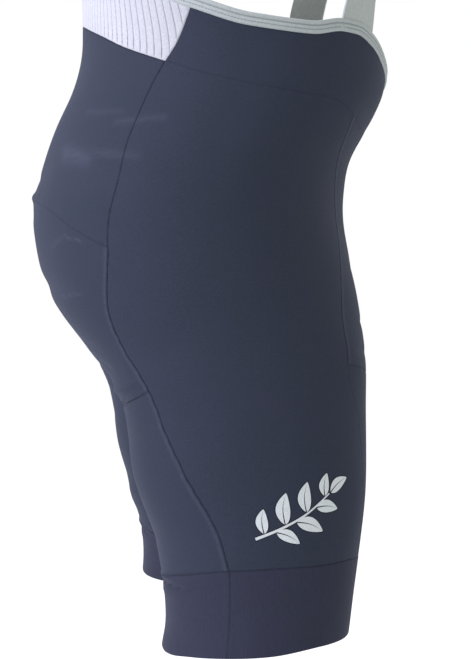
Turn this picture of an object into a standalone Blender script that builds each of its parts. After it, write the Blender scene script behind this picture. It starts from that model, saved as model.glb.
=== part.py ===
"""Cycling bib shorts in the hollow shape they take when worn.

Heights are in mm above the hem. A turn is an angle in degrees round the body or leg: 0 faces the
front, 90 the outer side, 180 the back, 270 the inner leg, and 360 the front again. The tables give
the wearer's right half, which lies on the -X side; the left half is its mirror image. The front of
the garment faces -Y. The finished part has its origin between the tops of the shoulder straps.
"""
import math

import bpy
import numpy as np

MM = 0.001

SHOULDER_HEIGHT = 825
SHOULDER_DEPTH = 5
CROTCH_HEIGHT = 192
FULL_TURN = 360
CENTRE_BACK_TURN = 180
SIDE_TURN = 90

CLOTH_WALL = 1.2
BAND_WALL = 1.6
TAPE_WALL = 2.2
STRAP_WALL = 1.8
BAND_PROUD = 0.2
TAPE_PROUD = 0.5
SEAM_GAP = 0.3
BIB_EDGE_GAP = 0.6
TAPE_WIDTH = 8.5
LEFT_BAND_LIFT = 10.5
STRAP_WIDTH = 35
RIB_PITCH = 6.0
RIB_RELIEF = 0.5
BIB_TOP_HEIGHT = 680
RIB_LEAN = 0.36
RIB_LEAN_START = 0.03
SQUARENESS = 2.2
BRIDGE_REACH = 20
BRIDGE_FADE = 60
BRIDGE_RISE = 40
BRIDGE_RISE_START = 1e-6
SHARP_DEGREES = 50

# Sections of the worn shape: below the crotch one leg, above it one half of the seat and torso.
SECTION_COLUMNS = ("height", "leg_centre", "outer", "inner", "front", "back")
SECTIONS = (
    (-30, 113, 70, 62, -97, 33),
    (20, 108, 72, 66, -105, 30),
    (70, 103, 75, 71, -113, 37),
    (120, 97, 79, 76, -119, 53),
    (170, 90, 84, 81, -120, 60),
    (192, 87, 87, 87, -121, 71),
    (215, 60, 113, 86, -124, 86),
    (245, 34, 139, 90, -124, 109),
    (280, 14, 159, 120, -120, 121),
    (315, 0, 172, 172, -116, 126),
    (350, 0, 168, 168, -120, 118),
    (385, 0, 158, 158, -139, 106),
    (415, 0, 151, 151, -151.5, 92),
    (445, 0, 149, 149, -151.5, 86),
    (480, 0, 152, 152, -152, 86),
    (540, 0, 158, 158, -149, 90),
    (600, 0, 163, 163, -145, 100),
    (660, 0, 164, 164, -138, 108),
    (700, 0, 161, 161, -130, 109),
)

# Places where seams and edges meet, as turn and height.
SEAM_COLUMNS = ("turn", "height")
BACK_CORNER = (115.5, 420)
SEAT_CORNER = (118, 288)
INNER_CORNER = (140, 188)
SIDE_FOOT = (114, 64)
FRONT_TOP = (51.5, 385)
FRONT_INNER = (44, 205)
FRONT_FOOT = (22, 63)
FRONT_INNER_AGAIN = (404, 205)
FRONT_FOOT_AGAIN = (382, 63)
CROTCH = (270, CROTCH_HEIGHT)
BELLY_CORNER = (109, 457)
STRAP_REAR = (64.5, 444)
STRAP_FRONT = (50, 438)
ARMHOLE_TOP = (146.5, 680)
BACK_CENTRE = (CENTRE_BACK_TURN, 462)
SEAT_CENTRE = (CENTRE_BACK_TURN, 329)
BELLY_CENTRE = (0, 410)
WAIST_CENTRE = (0, 364)

# Seams and edges, each a row for a place that it passes through.
SIDE_BACK_SEAM = (
    BACK_CORNER, (117, 405), (115.5, 376), (113.5, 335), SEAT_CORNER, (131.5, 231),
    (138.5, 204), INNER_CORNER, (139.5, 172), (130, 131), (118, 92), SIDE_FOOT,
)
FRONT_SEAM = (
    FRONT_TOP, (50, 350), (45.5, 298), (48.5, 240), FRONT_INNER, (32, 161), (27, 120), FRONT_FOOT,
)
WAIST_SEAM = (
    BACK_CORNER, (101, 409), (80, 399), (62, 394), FRONT_TOP, (37, 375), WAIST_CENTRE,
)
SEAT_SEAM = (SEAT_CORNER, (129.5, 303), (143.5, 317), SEAT_CENTRE)
INNER_LEG_SEAM = (
    INNER_CORNER, (150, 182), (166, 176), (200, 174), (240, 181), CROTCH,
    (310, 188), (345, 190), FRONT_INNER_AGAIN,
)
BAND_SEAM = (
    FRONT_FOOT, (45, 66), (80, 66), SIDE_FOOT, (140, 58), (180, 49), (225, 45), (270, 46),
    (315, 53), (360, 61), FRONT_FOOT_AGAIN,
)
HEM = (
    (22, 8), (60, 8.5), (90, 5), (116, 3), (140, 0), (180, -6), (225, -6), (270, -1),
    (315, 4), (360, 7), (382, 8),
)
FRONT_EDGE = (
    BELLY_CENTRE, (20, 416.5), (35, 425), STRAP_FRONT, (58, 443.5), STRAP_REAR, (75, 440),
    (92.5, 444), BELLY_CORNER, (114, 462), (120, 470), (128, 492), (135, 532), (140, 590),
    ARMHOLE_TOP,
)
BACK_EDGE = (BACK_CORNER, (120.5, 424), (130.5, 432), (145.5, 444.5), (165, 456), BACK_CENTRE)
BIB_END_SEAM = (BACK_CORNER, (112.8, 432.5), (110.5, 447), BELLY_CORNER)

# How many faces each stretch of a seam has. Panels on both sides of it share them.
SIDE_COUNT = 14
HALF_COUNT = 8
BACK_ROWS = 5
SEAT_ROWS = 6
LEG_ROWS = 9
BELLY_ROWS = 3
BAND_ROWS = 3
BIB_ROWS = 6
BIB_TOP_COUNT = 6
STRAP_COUNT = 3
STRAP_ROWS = 34
ARMHOLE_COUNT = 12
TRACE_STEPS = 240
TAPE_CROWN = 0.4
LEAST_BIB_SIDE = 1.5
LEAST_SPREAD = 0.15
NORMAL_STEP = 0.4
NEAR_MIDDLE = 0.01
TINY = 1e-9

# The strap's middle line over the shoulder, and the way that its outer face looks.
STRAP_COLUMNS = ("side", "depth", "height", "face_side", "face_depth", "face_up")
STRAP_ROUTE = (
    (118, -116, 490, 0.70, -0.72, 0.00),
    (108, -128, 545, 0.56, -0.83, 0.02),
    (97, -133, 605, 0.42, -0.90, 0.06),
    (86, -127, 665, 0.34, -0.92, 0.16),
    (78, -108, 722, 0.29, -0.87, 0.38),
    (73, -76, 772, 0.27, -0.68, 0.68),
    (71, -36, 808, 0.26, -0.36, 0.90),
    (71, 5, 824, 0.24, 0.00, 0.97),
    (70, 46, 807, 0.22, 0.42, 0.88),
    (68, 80, 770, 0.19, 0.76, 0.62),
    (66, 100, 725, 0.16, 0.95, 0.28),
)
STRAP_FOOT_SIDE = (84, 47)
BACKWARD = (0, 1, 0)

COLOURS = {
    "navy": (60, 66, 84),
    "band": (58, 62, 80),
    "rib": (226, 226, 236),
    "tape": (161, 167, 171),
    "strap": (163, 169, 166),
}
ROUGHNESS = {"navy": 0.75, "band": 0.7, "rib": 0.85, "tape": 0.8, "strap": 0.8}


def clear_scene():
    for thing in list(bpy.data.objects):
        bpy.data.objects.remove(thing)


def linear(channel):
    value = channel / 255
    return value / 12.92 if value <= 0.04045 else ((value + 0.055) / 1.055) ** 2.4


def fabric(kind, name):
    material = bpy.data.materials.new(name)
    material.use_nodes = True
    shader = material.node_tree.nodes["Principled BSDF"]
    shader.inputs["Base Color"].default_value = [linear(c) for c in COLOURS[kind]] + [1]
    shader.inputs["Roughness"].default_value = ROUGHNESS[kind]
    shader.inputs["Metallic"].default_value = 0
    return material


def table_column(table, columns, name):
    return np.array([row[columns.index(name)] for row in table], float)


def smooth(places, values, at):
    """A cubic through each row that never overshoots between two rows."""
    steps = np.diff(places)
    slopes = np.diff(values) / steps
    before, after = slopes[:-1], slopes[1:]
    same_way = before * after > 0
    mean = 2 * before * after / np.where(same_way, before + after, 1)
    tangents = np.concatenate([slopes[:1], np.where(same_way, mean, 0), slopes[-1:]])
    at = np.clip(at, places[0], places[-1])
    row = np.clip(np.searchsorted(places, at) - 1, 0, len(steps) - 1)
    part = (at - places[row]) / steps[row]
    step = steps[row]
    start = (1 + 2 * part) * (1 - part) ** 2 * values[row]
    end = part ** 2 * (3 - 2 * part) * values[row + 1]
    leave = part * (1 - part) ** 2 * step * tangents[row]
    arrive = part ** 2 * (part - 1) * step * tangents[row + 1]
    return start + end + leave + arrive


def section(height):
    heights = table_column(SECTIONS, SECTION_COLUMNS, "height")
    return {
        name: smooth(heights, table_column(SECTIONS, SECTION_COLUMNS, name), height)
        for name in SECTION_COLUMNS[1:]
    }


def rounded(share):
    """How far an oval reaches along one axis at a share of its reach along the other."""
    return np.clip(1 - np.abs(share) ** SQUARENESS, 0, 1) ** (1 / SQUARENESS)


def bridge(x, y, turn, height, sizes, middle, depth):
    """Cloth that spans the groove between the two legs instead of sinking into it."""
    rise = np.clip((height - CROTCH_HEIGHT) / BRIDGE_RISE, 0, 1)
    share = np.maximum(rise * rise * (3 - 2 * rise), BRIDGE_RISE_START)
    reach = BRIDGE_REACH * share
    side = np.abs(x)
    near = np.clip(1 - side / (BRIDGE_FADE * share), 0, 1)
    offset = side + reach * near ** 3 - sizes["leg_centre"]
    width = np.where(offset > 0, sizes["outer"], sizes["inner"])
    facing = np.sign(np.cos(np.radians(turn)))
    spanned = middle - facing * depth * rounded(offset / width)
    return np.where((near > 0) & (height > CROTCH_HEIGHT), spanned, y)


def surface(turn, height):
    """Outer face of the cloth at a turn and a height, on the wearer's right."""
    turn, height = np.broadcast_arrays(np.asarray(turn, float), np.asarray(height, float))
    sizes = section(height)
    middle = (sizes["front"] + sizes["back"]) / 2
    depth = (sizes["back"] - sizes["front"]) / 2
    across, along = np.sin(np.radians(turn)), np.cos(np.radians(turn))
    width = np.where(across >= 0, sizes["outer"], sizes["inner"])
    powers = np.abs(across / width) ** SQUARENESS + np.abs(along / depth) ** SQUARENESS
    reach = powers ** (-1 / SQUARENESS)
    x = -(sizes["leg_centre"] + reach * across)
    y = bridge(x, middle - reach * along, turn, height, sizes, middle, depth)
    return np.stack([x, y, height], axis=-1)


def unit(vectors):
    return vectors / np.maximum(np.linalg.norm(vectors, axis=-1, keepdims=True), TINY)


def facing_out(turn, height):
    step = NORMAL_STEP
    round_way = surface(turn + step, height) - surface(turn - step, height)
    up_way = surface(turn, height + step) - surface(turn, height - step)
    normals = unit(np.cross(up_way, round_way))
    centred = np.abs(surface(turn, height)[..., 0]) < NEAR_MIDDLE
    normals[centred, 0] = 0
    return unit(normals)


def centre_turn(height, back):
    """Turn at which the right half meets the middle plane."""
    sizes = section(height)
    depth = (sizes["back"] - sizes["front"]) / 2 * rounded(sizes["leg_centre"] / sizes["inner"])
    swing = np.degrees(np.arctan2(sizes["leg_centre"], depth))
    return CENTRE_BACK_TURN + swing if back else -swing


def trace(rows):
    """A smooth dense line of turns and heights through the rows of a seam."""
    rows = np.array(rows, float)
    lengths = np.linalg.norm(np.diff(surface(rows[:, 0], rows[:, 1]), axis=0), axis=1)
    places = np.concatenate([[0], np.cumsum(lengths)])
    at = np.linspace(0, places[-1], TRACE_STEPS)
    return np.stack([smooth(places, rows[:, 0], at), smooth(places, rows[:, 1], at)], axis=1)


def evenly(line, count):
    """The line cut into a number of stretches of equal length on the cloth."""
    lengths = np.linalg.norm(np.diff(surface(line[:, 0], line[:, 1]), axis=0), axis=1)
    places = np.concatenate([[0], np.cumsum(lengths)])
    at = np.linspace(0, places[-1], count + 1)
    return np.stack([np.interp(at, places, line[:, 0]), np.interp(at, places, line[:, 1])], axis=1)


def stretch(rows, column, start, end, count):
    """Even points of a seam between two places on it, found by their turns or their heights."""
    line = trace(rows)
    key = SEAM_COLUMNS.index(column)
    keys, start, end = line[:, key], start[key], end[key]
    order = np.argsort(keys)
    inside = line[(keys > min(start, end)) & (keys < max(start, end))]
    if (keys[-1] - keys[0]) * (end - start) < 0:
        inside = inside[::-1]
    ends = [
        [np.interp(value, keys[order], line[order, 0]), np.interp(value, keys[order], line[order, 1])]
        for value in (start, end)
    ]
    return evenly(np.vstack([ends[0], inside, ends[1]]), count)


def centre_line(top, bottom, back, count):
    """Even points of the middle plane's line between the heights of two places."""
    heights = np.linspace(top[1], bottom[1], TRACE_STEPS)
    return evenly(np.stack([centre_turn(heights, back), heights], axis=1), count)


def joined(*lines):
    return np.vstack([lines[0]] + [line[1:] for line in lines[1:]])


def patch(top, bottom, left, right):
    """Turns and heights inside four seams. Rows run down, columns run from left to right."""
    across = np.linspace(0, 1, len(top))[None, :, None]
    down = np.linspace(0, 1, len(left))[:, None, None]
    between_rows = (1 - down) * top[None] + down * bottom[None]
    between_columns = (1 - across) * left[:, None] + across * right[:, None]
    corners = (
        (1 - down) * ((1 - across) * top[0] + across * top[-1])
        + down * ((1 - across) * bottom[0] + across * bottom[-1])
    )
    return between_rows + between_columns - corners


def on_cloth(cells):
    return surface(cells[..., 0], cells[..., 1]), facing_out(cells[..., 0], cells[..., 1])


def mirrored(points):
    return points * np.array([-1, 1, 1])


def with_mirror(points, normals):
    """Both halves of a panel whose last column lies on the middle plane."""
    points[:, -1, 0] = 0
    return (
        np.concatenate([points, mirrored(points)[:, -2::-1]], axis=1),
        np.concatenate([normals, mirrored(normals)[:, -2::-1]], axis=1),
    )


def edge_shift(edge, normals, inner):
    """Steps along the cloth that move each point of an edge a unit away from its two runs."""
    run = unit(np.diff(edge, axis=0))
    inward = unit(np.cross(normals[1:] + normals[:-1], run))
    wrong = np.sum(inward * (inner[1:] + inner[:-1] - edge[1:] - edge[:-1]), axis=1) < 0
    inward[wrong] *= -1
    return mitred(np.vstack([inward[:1], inward]), np.vstack([inward, inward[-1:]]))


def mitred(first, second):
    spread = 1 + np.sum(first * second, axis=-1, keepdims=True)
    return (first + second) / np.maximum(spread, LEAST_SPREAD)


def drawn_in(points, normals, closed=False, half=SEAM_GAP / 2):
    """The panel with half a seam gap taken off each edge."""
    moved = points.copy()
    if closed:
        points = np.concatenate([points[:, -1:], points, points[:, :1]], axis=1)
        normals = np.concatenate([normals[:, -1:], normals, normals[:, :1]], axis=1)
    top = edge_shift(points[0], normals[0], points[1])
    bottom = edge_shift(points[-1], normals[-1], points[-2])
    if closed:
        moved[0] += half * top[1:-1]
        moved[-1] += half * bottom[1:-1]
        return moved
    left = edge_shift(points[:, 0], normals[:, 0], points[:, 1])
    right = edge_shift(points[:, -1], normals[:, -1], points[:, -2])
    moved[0] += half * top
    moved[-1] += half * bottom
    moved[1:-1, 0] += half * left[1:-1]
    moved[1:-1, -1] += half * right[1:-1]
    for row, ends in ((0, top), (-1, bottom)):
        for column, side in ((0, left), (-1, right)):
            moved[row, column] = points[row, column] + half * mitred(ends[column], side[row])
    return moved


def to_part_frame(points):
    origin = np.array([0, SHOULDER_DEPTH, SHOULDER_HEIGHT])
    return (points - origin) * MM


def add_shell(name, kind, points, normals, wall, closed=False, relief=0):
    """A closed wall on a grid of outer points, with a plain inner face."""
    rows, columns = points.shape[:2]
    outer = to_part_frame(points + normals * np.asarray(relief)[..., None])
    inner = to_part_frame(points - normals * wall)
    vertices = np.concatenate([outer.reshape(-1, 3), inner.reshape(-1, 3)])
    outside = np.arange(rows * columns).reshape(rows, columns)
    inside = outside + rows * columns
    if closed:
        outside = np.concatenate([outside, outside[:, :1]], axis=1)
        inside = np.concatenate([inside, inside[:, :1]], axis=1)
    faces = []
    for i in range(rows - 1):
        for j in range(outside.shape[1] - 1):
            corner = (i, j), (i + 1, j), (i + 1, j + 1), (i, j + 1)
            faces.append([outside[c] for c in corner])
            faces.append([inside[c] for c in reversed(corner)])
    for row, flip in ((0, False), (rows - 1, True)):
        faces += rim(vertices, outside[row], inside[row], flip)
    if not closed:
        faces += rim(vertices, outside[:, 0], inside[:, 0], True)
        faces += rim(vertices, outside[:, -1], inside[:, -1], False)
    mesh = bpy.data.meshes.new(name)
    mesh.from_pydata([tuple(v) for v in vertices], [], [[int(k) for k in f] for f in faces])
    if signed_volume(vertices, faces) < 0:
        mesh.flip_normals()
    mesh.materials.append(fabric(kind, name))
    mesh.shade_smooth()
    mesh.set_sharp_from_angle(angle=math.radians(SHARP_DEGREES))
    made = bpy.data.objects.new(name, mesh)
    bpy.context.scene.collection.objects.link(made)
    return made


def rim(vertices, outside, inside, flip):
    """Triangles along an edge. Their diagonals are the short ones, as on the facing edge."""
    faces = []
    for a, b, c, d in zip(outside[:-1], outside[1:], inside[1:], inside[:-1]):
        if np.linalg.norm(vertices[a] - vertices[c]) < np.linalg.norm(vertices[b] - vertices[d]):
            pair = [a, b, c], [a, c, d]
        else:
            pair = [a, b, d], [b, c, d]
        faces += [face[::-1] if flip else face for face in pair]
    return faces


def signed_volume(vertices, faces):
    total = 0.0
    for face in faces:
        corners = vertices[face]
        for b, c in zip(corners[1:-1], corners[2:]):
            total += corners[0] @ np.cross(b, c)
    return total / 6


def add_pair(name, kind, points, normals, wall, **options):
    add_shell(name + "_right", kind, points, normals, wall, **options)
    add_shell(name + "_left", kind, mirrored(points), mirrored(normals), wall, **options)


def side_seam(start, end, count):
    return stretch(SIDE_BACK_SEAM, "height", start, end, count)


def side_panel_cells():
    top = stretch(WAIST_SEAM, "turn", BACK_CORNER, FRONT_TOP, SIDE_COUNT)
    bottom = stretch(BAND_SEAM, "turn", SIDE_FOOT, FRONT_FOOT, SIDE_COUNT)
    left = joined(
        side_seam(BACK_CORNER, SEAT_CORNER, BACK_ROWS),
        side_seam(SEAT_CORNER, INNER_CORNER, SEAT_ROWS),
        side_seam(INNER_CORNER, SIDE_FOOT, LEG_ROWS),
    )
    right = joined(
        stretch(FRONT_SEAM, "height", FRONT_TOP, FRONT_INNER, BACK_ROWS + SEAT_ROWS),
        stretch(FRONT_SEAM, "height", FRONT_INNER, FRONT_FOOT, LEG_ROWS),
    )
    return patch(top, bottom, left, right)


def back_panel_cells():
    top = stretch(BACK_EDGE, "turn", BACK_CORNER, BACK_CENTRE, HALF_COUNT)
    bottom = stretch(SEAT_SEAM, "turn", SEAT_CORNER, SEAT_CENTRE, HALF_COUNT)
    left = side_seam(BACK_CORNER, SEAT_CORNER, BACK_ROWS)
    right = centre_line(BACK_CENTRE, SEAT_CENTRE, True, BACK_ROWS)
    return patch(top, bottom, left, right)


def seat_panel_cells():
    top = stretch(SEAT_SEAM, "turn", SEAT_CORNER, SEAT_CENTRE, HALF_COUNT)
    bottom = stretch(INNER_LEG_SEAM, "turn", INNER_CORNER, CROTCH, HALF_COUNT)
    left = side_seam(SEAT_CORNER, INNER_CORNER, SEAT_ROWS)
    right = centre_line(SEAT_CENTRE, CROTCH, True, SEAT_ROWS)
    return patch(top, bottom, left, right)


def front_panel_cells():
    top = stretch(WAIST_SEAM, "turn", FRONT_TOP, WAIST_CENTRE, HALF_COUNT)
    bottom = stretch(INNER_LEG_SEAM, "turn", FRONT_INNER_AGAIN, CROTCH, HALF_COUNT)
    bottom[:, 0] -= FULL_TURN
    left = stretch(FRONT_SEAM, "height", FRONT_TOP, FRONT_INNER, BACK_ROWS + SEAT_ROWS)
    right = centre_line(WAIST_CENTRE, CROTCH, False, BACK_ROWS + SEAT_ROWS)
    return patch(top, bottom, left, right)


def inner_leg_cells():
    top = joined(
        stretch(INNER_LEG_SEAM, "turn", INNER_CORNER, CROTCH, HALF_COUNT),
        stretch(INNER_LEG_SEAM, "turn", CROTCH, FRONT_INNER_AGAIN, HALF_COUNT),
    )
    bottom = stretch(BAND_SEAM, "turn", SIDE_FOOT, FRONT_FOOT_AGAIN, 2 * HALF_COUNT)
    left = side_seam(INNER_CORNER, SIDE_FOOT, LEG_ROWS)
    right = stretch(FRONT_SEAM, "height", FRONT_INNER, FRONT_FOOT, LEG_ROWS)
    right[:, 0] += FULL_TURN
    return patch(top, bottom, left, right)


def front_edge_points(start, end, count):
    return stretch(FRONT_EDGE, "turn", start, end, count)


def belly_top():
    return joined(
        front_edge_points(BELLY_CORNER, STRAP_REAR, SIDE_COUNT - STRAP_COUNT),
        front_edge_points(STRAP_REAR, STRAP_FRONT, STRAP_COUNT),
        front_edge_points(STRAP_FRONT, BELLY_CENTRE, HALF_COUNT),
    )


def belly_panel_cells():
    bottom = joined(
        stretch(WAIST_SEAM, "turn", BACK_CORNER, FRONT_TOP, SIDE_COUNT),
        stretch(WAIST_SEAM, "turn", FRONT_TOP, WAIST_CENTRE, HALF_COUNT),
    )
    left = stretch(BIB_END_SEAM, "height", BELLY_CORNER, BACK_CORNER, BELLY_ROWS)
    right = centre_line(BELLY_CENTRE, WAIST_CENTRE, False, BELLY_ROWS)
    return patch(belly_top(), bottom, left, right)


def leg_band_cells(lift):
    """A ring: the points of the band seam, and below them those of the hem, which may ride up."""
    top = joined(
        stretch(BAND_SEAM, "turn", FRONT_FOOT, SIDE_FOOT, SIDE_COUNT),
        stretch(BAND_SEAM, "turn", SIDE_FOOT, FRONT_FOOT_AGAIN, 2 * HALF_COUNT),
    )[:-1]
    hem = trace(HEM)
    bottom = np.stack([top[:, 0], np.interp(top[:, 0], hem[:, 0], hem[:, 1]) + lift], axis=1)
    down = np.linspace(0, 1, BAND_ROWS + 1)[:, None, None]
    return (1 - down) * top + down * bottom


def tape_grid(edge):
    """A strip that stands on an edge of the cloth, with a slightly raised middle."""
    points, normals = on_cloth(edge)
    along = unit(np.gradient(points, axis=0))
    upward = unit(np.cross(normals, along))
    upward[upward[:, 2] < 0] *= -1
    points = points + normals * TAPE_PROUD
    middle = points + upward * TAPE_WIDTH / 2 + normals * TAPE_CROWN
    rows = np.stack([points + upward * TAPE_WIDTH, middle, points])
    return rows, np.stack([normals] * 3)


def armhole():
    return front_edge_points(ARMHOLE_TOP, BELLY_CORNER, ARMHOLE_COUNT)


def side_tape_grid():
    rest = front_edge_points(BELLY_CORNER, STRAP_REAR, SIDE_COUNT - STRAP_COUNT)
    points, normals = tape_grid(joined(armhole(), rest))
    points[:, 0, 2] = BIB_TOP_HEIGHT
    return points, normals


def front_tape_grid():
    edge = joined(
        front_edge_points(STRAP_REAR, STRAP_FRONT, STRAP_COUNT),
        front_edge_points(STRAP_FRONT, BELLY_CENTRE, HALF_COUNT),
    )
    return with_mirror(*tape_grid(edge))


def rib_lean(height):
    """The ribs' spread at a height, as a share of their spread at the bib's lowest corner."""
    share = np.maximum(height - BACK_CORNER[1], 0) / (BIB_TOP_HEIGHT - BACK_CORNER[1])
    return 1 - RIB_LEAN * share ** 2 / (share + RIB_LEAN_START)


def rib_place(turn, height):
    """Degrees from the centre back at the foot of the rib that passes through a place."""
    return (CENTRE_BACK_TURN - turn) / rib_lean(height)


def rib_turn(place, height):
    return CENTRE_BACK_TURN - place * rib_lean(height)


def rib_places(last):
    """Places half a rib apart on the cloth, from the centre back to the side."""
    places = np.linspace(0, last, TRACE_STEPS)
    line = surface(rib_turn(places, BACK_CENTRE[1]), BACK_CENTRE[1])
    lengths = np.concatenate([[0], np.cumsum(np.linalg.norm(np.diff(line, axis=0), axis=1))])
    return np.interp(np.arange(0, lengths[-1], RIB_PITCH / 2), lengths, places)


def on_chords(line, places):
    """Points on the straight runs between the shared points of a seam, one for each rib place."""
    keys = rib_place(line[:, 0], line[:, 1])
    order = np.argsort(keys)
    solid, normals = on_cloth(line)
    cells = [np.interp(places, keys[order], line[order, k]) for k in range(2)]
    points = [np.interp(places, keys[order], solid[order, k]) for k in range(3)]
    ways = [np.interp(places, keys[order], normals[order, k]) for k in range(3)]
    return np.stack(cells, 1), np.stack(points, 1), unit(np.stack(ways, 1))


def bib_edges():
    end = stretch(BIB_END_SEAM, "height", BELLY_CORNER, BACK_CORNER, BELLY_ROWS)
    back = stretch(BACK_EDGE, "turn", BACK_CORNER, BACK_CENTRE, HALF_COUNT)
    flat = np.linspace(ARMHOLE_TOP[0], CENTRE_BACK_TURN, BIB_TOP_COUNT + 1)
    top = np.stack([flat, np.full_like(flat, BIB_TOP_HEIGHT)], axis=1)
    return joined(end, back), joined(armhole()[::-1], top)


def bib_grid():
    """The ribbed back: each column follows a rib or a groove from the lower edge to the upper."""
    lower, upper = bib_edges()
    places = rib_places(rib_place(*lower[0]))
    low_cells, low_points, low_normals = on_chords(lower, places)
    high_cells, high_points, high_normals = on_chords(upper, places)
    tall = high_cells[:, 1] - low_cells[:, 1] > LEAST_BIB_SIDE
    down = np.linspace(0, 1, BIB_ROWS + 1)[:, None]
    heights = (1 - down) * high_cells[:, 1] + down * low_cells[:, 1]
    points, normals = on_cloth(np.stack([rib_turn(places, heights), heights], axis=-1))
    points[0], normals[0] = high_points, high_normals
    points[-1], normals[-1] = low_points, low_normals
    columns = np.arange(len(places))[tall][::-1]
    relief = np.where(columns % 2 == 0, -RIB_RELIEF / 2, RIB_RELIEF / 2)
    points, normals = with_mirror(points[:, columns], normals[:, columns])
    return points, normals, np.concatenate([relief, relief[-2::-1]])


def strap_lines(base, foot):
    """Middle line and outward direction of the strap, from its front base to its foot behind."""
    route = {n: table_column(STRAP_ROUTE, STRAP_COLUMNS, n) for n in STRAP_COLUMNS}
    middles = np.stack([-route["side"], route["depth"], route["height"]], axis=1)
    faces = np.stack([-route["face_side"], route["face_depth"], route["face_up"]], axis=1)
    middles = np.vstack([base.mean(axis=0), middles, foot.mean(axis=0)])
    faces = np.vstack([faces[:1], faces, [BACKWARD]])
    places = np.concatenate([[0], np.cumsum(np.linalg.norm(np.diff(middles, axis=0), axis=1))])
    at = np.linspace(0, places[-1], STRAP_ROWS + 1)
    line = np.stack([smooth(places, middles[:, k], at) for k in range(3)], axis=1)
    way = np.stack([smooth(places, faces[:, k], at) for k in range(3)], axis=1)
    return line, unit(way)


def strap_foot():
    """The strap's rear end, which sits on the bib's top edge and on the end of its tape."""
    sides = np.linspace(*STRAP_FOOT_SIDE, STRAP_COUNT + 1)
    turns = np.linspace(SIDE_TURN, CENTRE_BACK_TURN, TRACE_STEPS)
    line = surface(turns, BIB_TOP_HEIGHT)
    depth = np.interp(sides, -line[::-1, 0], line[::-1, 1])
    return np.stack([-sides, depth, np.full_like(sides, BIB_TOP_HEIGHT)], axis=1)


def strap_grid():
    tape, tape_normals = front_tape_grid()
    base = tape[0, :STRAP_COUNT + 1]
    foot = strap_foot()
    line, out = strap_lines(base, foot)
    along = np.gradient(line, axis=0)
    across = unit(np.cross(out, along))
    across[np.sum(across * (base[-1] - base[0]), axis=1) < 0] *= -1
    way = unit(np.cross(across, along))
    way[np.sum(way * out, axis=1) < 0] *= -1
    shares = np.linspace(-0.5, 0.5, STRAP_COUNT + 1)
    points = line[:, None] + across[:, None] * (shares[:, None] * STRAP_WIDTH)
    points[0], points[-1] = base, foot
    normals = np.repeat(way[:, None], STRAP_COUNT + 1, axis=1)
    normals[0] = tape_normals[0, :STRAP_COUNT + 1]
    normals[-1] = BACKWARD
    return points, normals


def build_panels():
    add_panel_pair("side_panel", side_panel_cells())
    add_panel_pair("inner_leg", inner_leg_cells())
    for name, cells in (
        ("back_panel", back_panel_cells()),
        ("seat_panel", seat_panel_cells()),
        ("front_panel", front_panel_cells()),
        ("belly_panel", belly_panel_cells()),
    ):
        points, normals = with_mirror(*on_cloth(cells))
        add_shell(name, "navy", drawn_in(points, normals), normals, CLOTH_WALL)


def add_panel_pair(name, cells):
    points, normals = on_cloth(cells)
    add_pair(name, "navy", drawn_in(points, normals), normals, CLOTH_WALL)


def leg_band_grid(lift):
    points, normals = on_cloth(leg_band_cells(lift))
    return drawn_in(points, normals, closed=True) + normals * BAND_PROUD, normals


def build_leg_bands():
    points, normals = leg_band_grid(0)
    add_shell("leg_band_right", "band", points, normals, BAND_WALL, closed=True)
    points, normals = leg_band_grid(LEFT_BAND_LIFT)
    points, normals = mirrored(points), mirrored(normals)
    add_shell("leg_band_left", "band", points, normals, BAND_WALL, closed=True)


def build_bib():
    points, normals, relief = bib_grid()
    relief = np.broadcast_to(relief, points.shape[:2])
    points = drawn_in(points, normals, half=BIB_EDGE_GAP)
    add_shell("back_bib", "rib", points, normals, CLOTH_WALL, relief=relief)


def build_tapes():
    points, normals = side_tape_grid()
    add_pair("side_tape", "tape", drawn_in(points, normals), normals, TAPE_WALL)
    points, normals = front_tape_grid()
    add_shell("front_tape", "tape", drawn_in(points, normals), normals, TAPE_WALL)


def build_straps():
    points, normals = strap_grid()
    add_pair("strap", "strap", drawn_in(points, normals), normals, STRAP_WALL)


def main():
    clear_scene()
    build_panels()
    build_leg_bands()
    build_bib()
    build_tapes()
    build_straps()


main()
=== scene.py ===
"""The finished look of the cycling bib shorts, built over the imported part.

Each panel of cloth is a thin shell on its solid's form, with seams, seam allowances and creases.
Heights are in mm above the hem. A turn is an angle in degrees round the body or leg: 0 faces the
front, 90 the outer side, 180 the back and 270 the inner leg. The tables give the right half.
"""
import math

import bmesh
import bpy
import numpy as np
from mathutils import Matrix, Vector

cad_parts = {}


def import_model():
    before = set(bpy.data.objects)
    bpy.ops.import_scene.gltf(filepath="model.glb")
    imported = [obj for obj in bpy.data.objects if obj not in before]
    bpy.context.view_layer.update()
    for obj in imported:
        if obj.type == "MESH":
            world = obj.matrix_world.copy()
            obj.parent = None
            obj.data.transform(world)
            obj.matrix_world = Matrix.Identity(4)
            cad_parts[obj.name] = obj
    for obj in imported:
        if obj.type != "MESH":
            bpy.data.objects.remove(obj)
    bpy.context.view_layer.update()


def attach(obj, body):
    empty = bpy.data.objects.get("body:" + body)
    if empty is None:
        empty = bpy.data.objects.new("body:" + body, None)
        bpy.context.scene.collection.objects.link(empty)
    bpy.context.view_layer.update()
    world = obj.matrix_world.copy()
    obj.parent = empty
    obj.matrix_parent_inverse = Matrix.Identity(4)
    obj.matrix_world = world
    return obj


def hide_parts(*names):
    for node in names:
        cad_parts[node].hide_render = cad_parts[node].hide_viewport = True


MM = 0.001
SHOULDER_HEIGHT = 825
SHOULDER_DEPTH = 5
CROTCH_HEIGHT = 192
CENTRE_BACK_TURN = 180
SIDE_TURN = 90
FULL_TURN = 360
SQUARENESS = 2.2
BRIDGE_REACH = 20
BRIDGE_FADE = 60
BRIDGE_RISE = 40
BRIDGE_RISE_START = 1e-6
BIB_TOP_HEIGHT = 680
RIB_PITCH = 6.0
RIB_LEAN = 0.36
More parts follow.
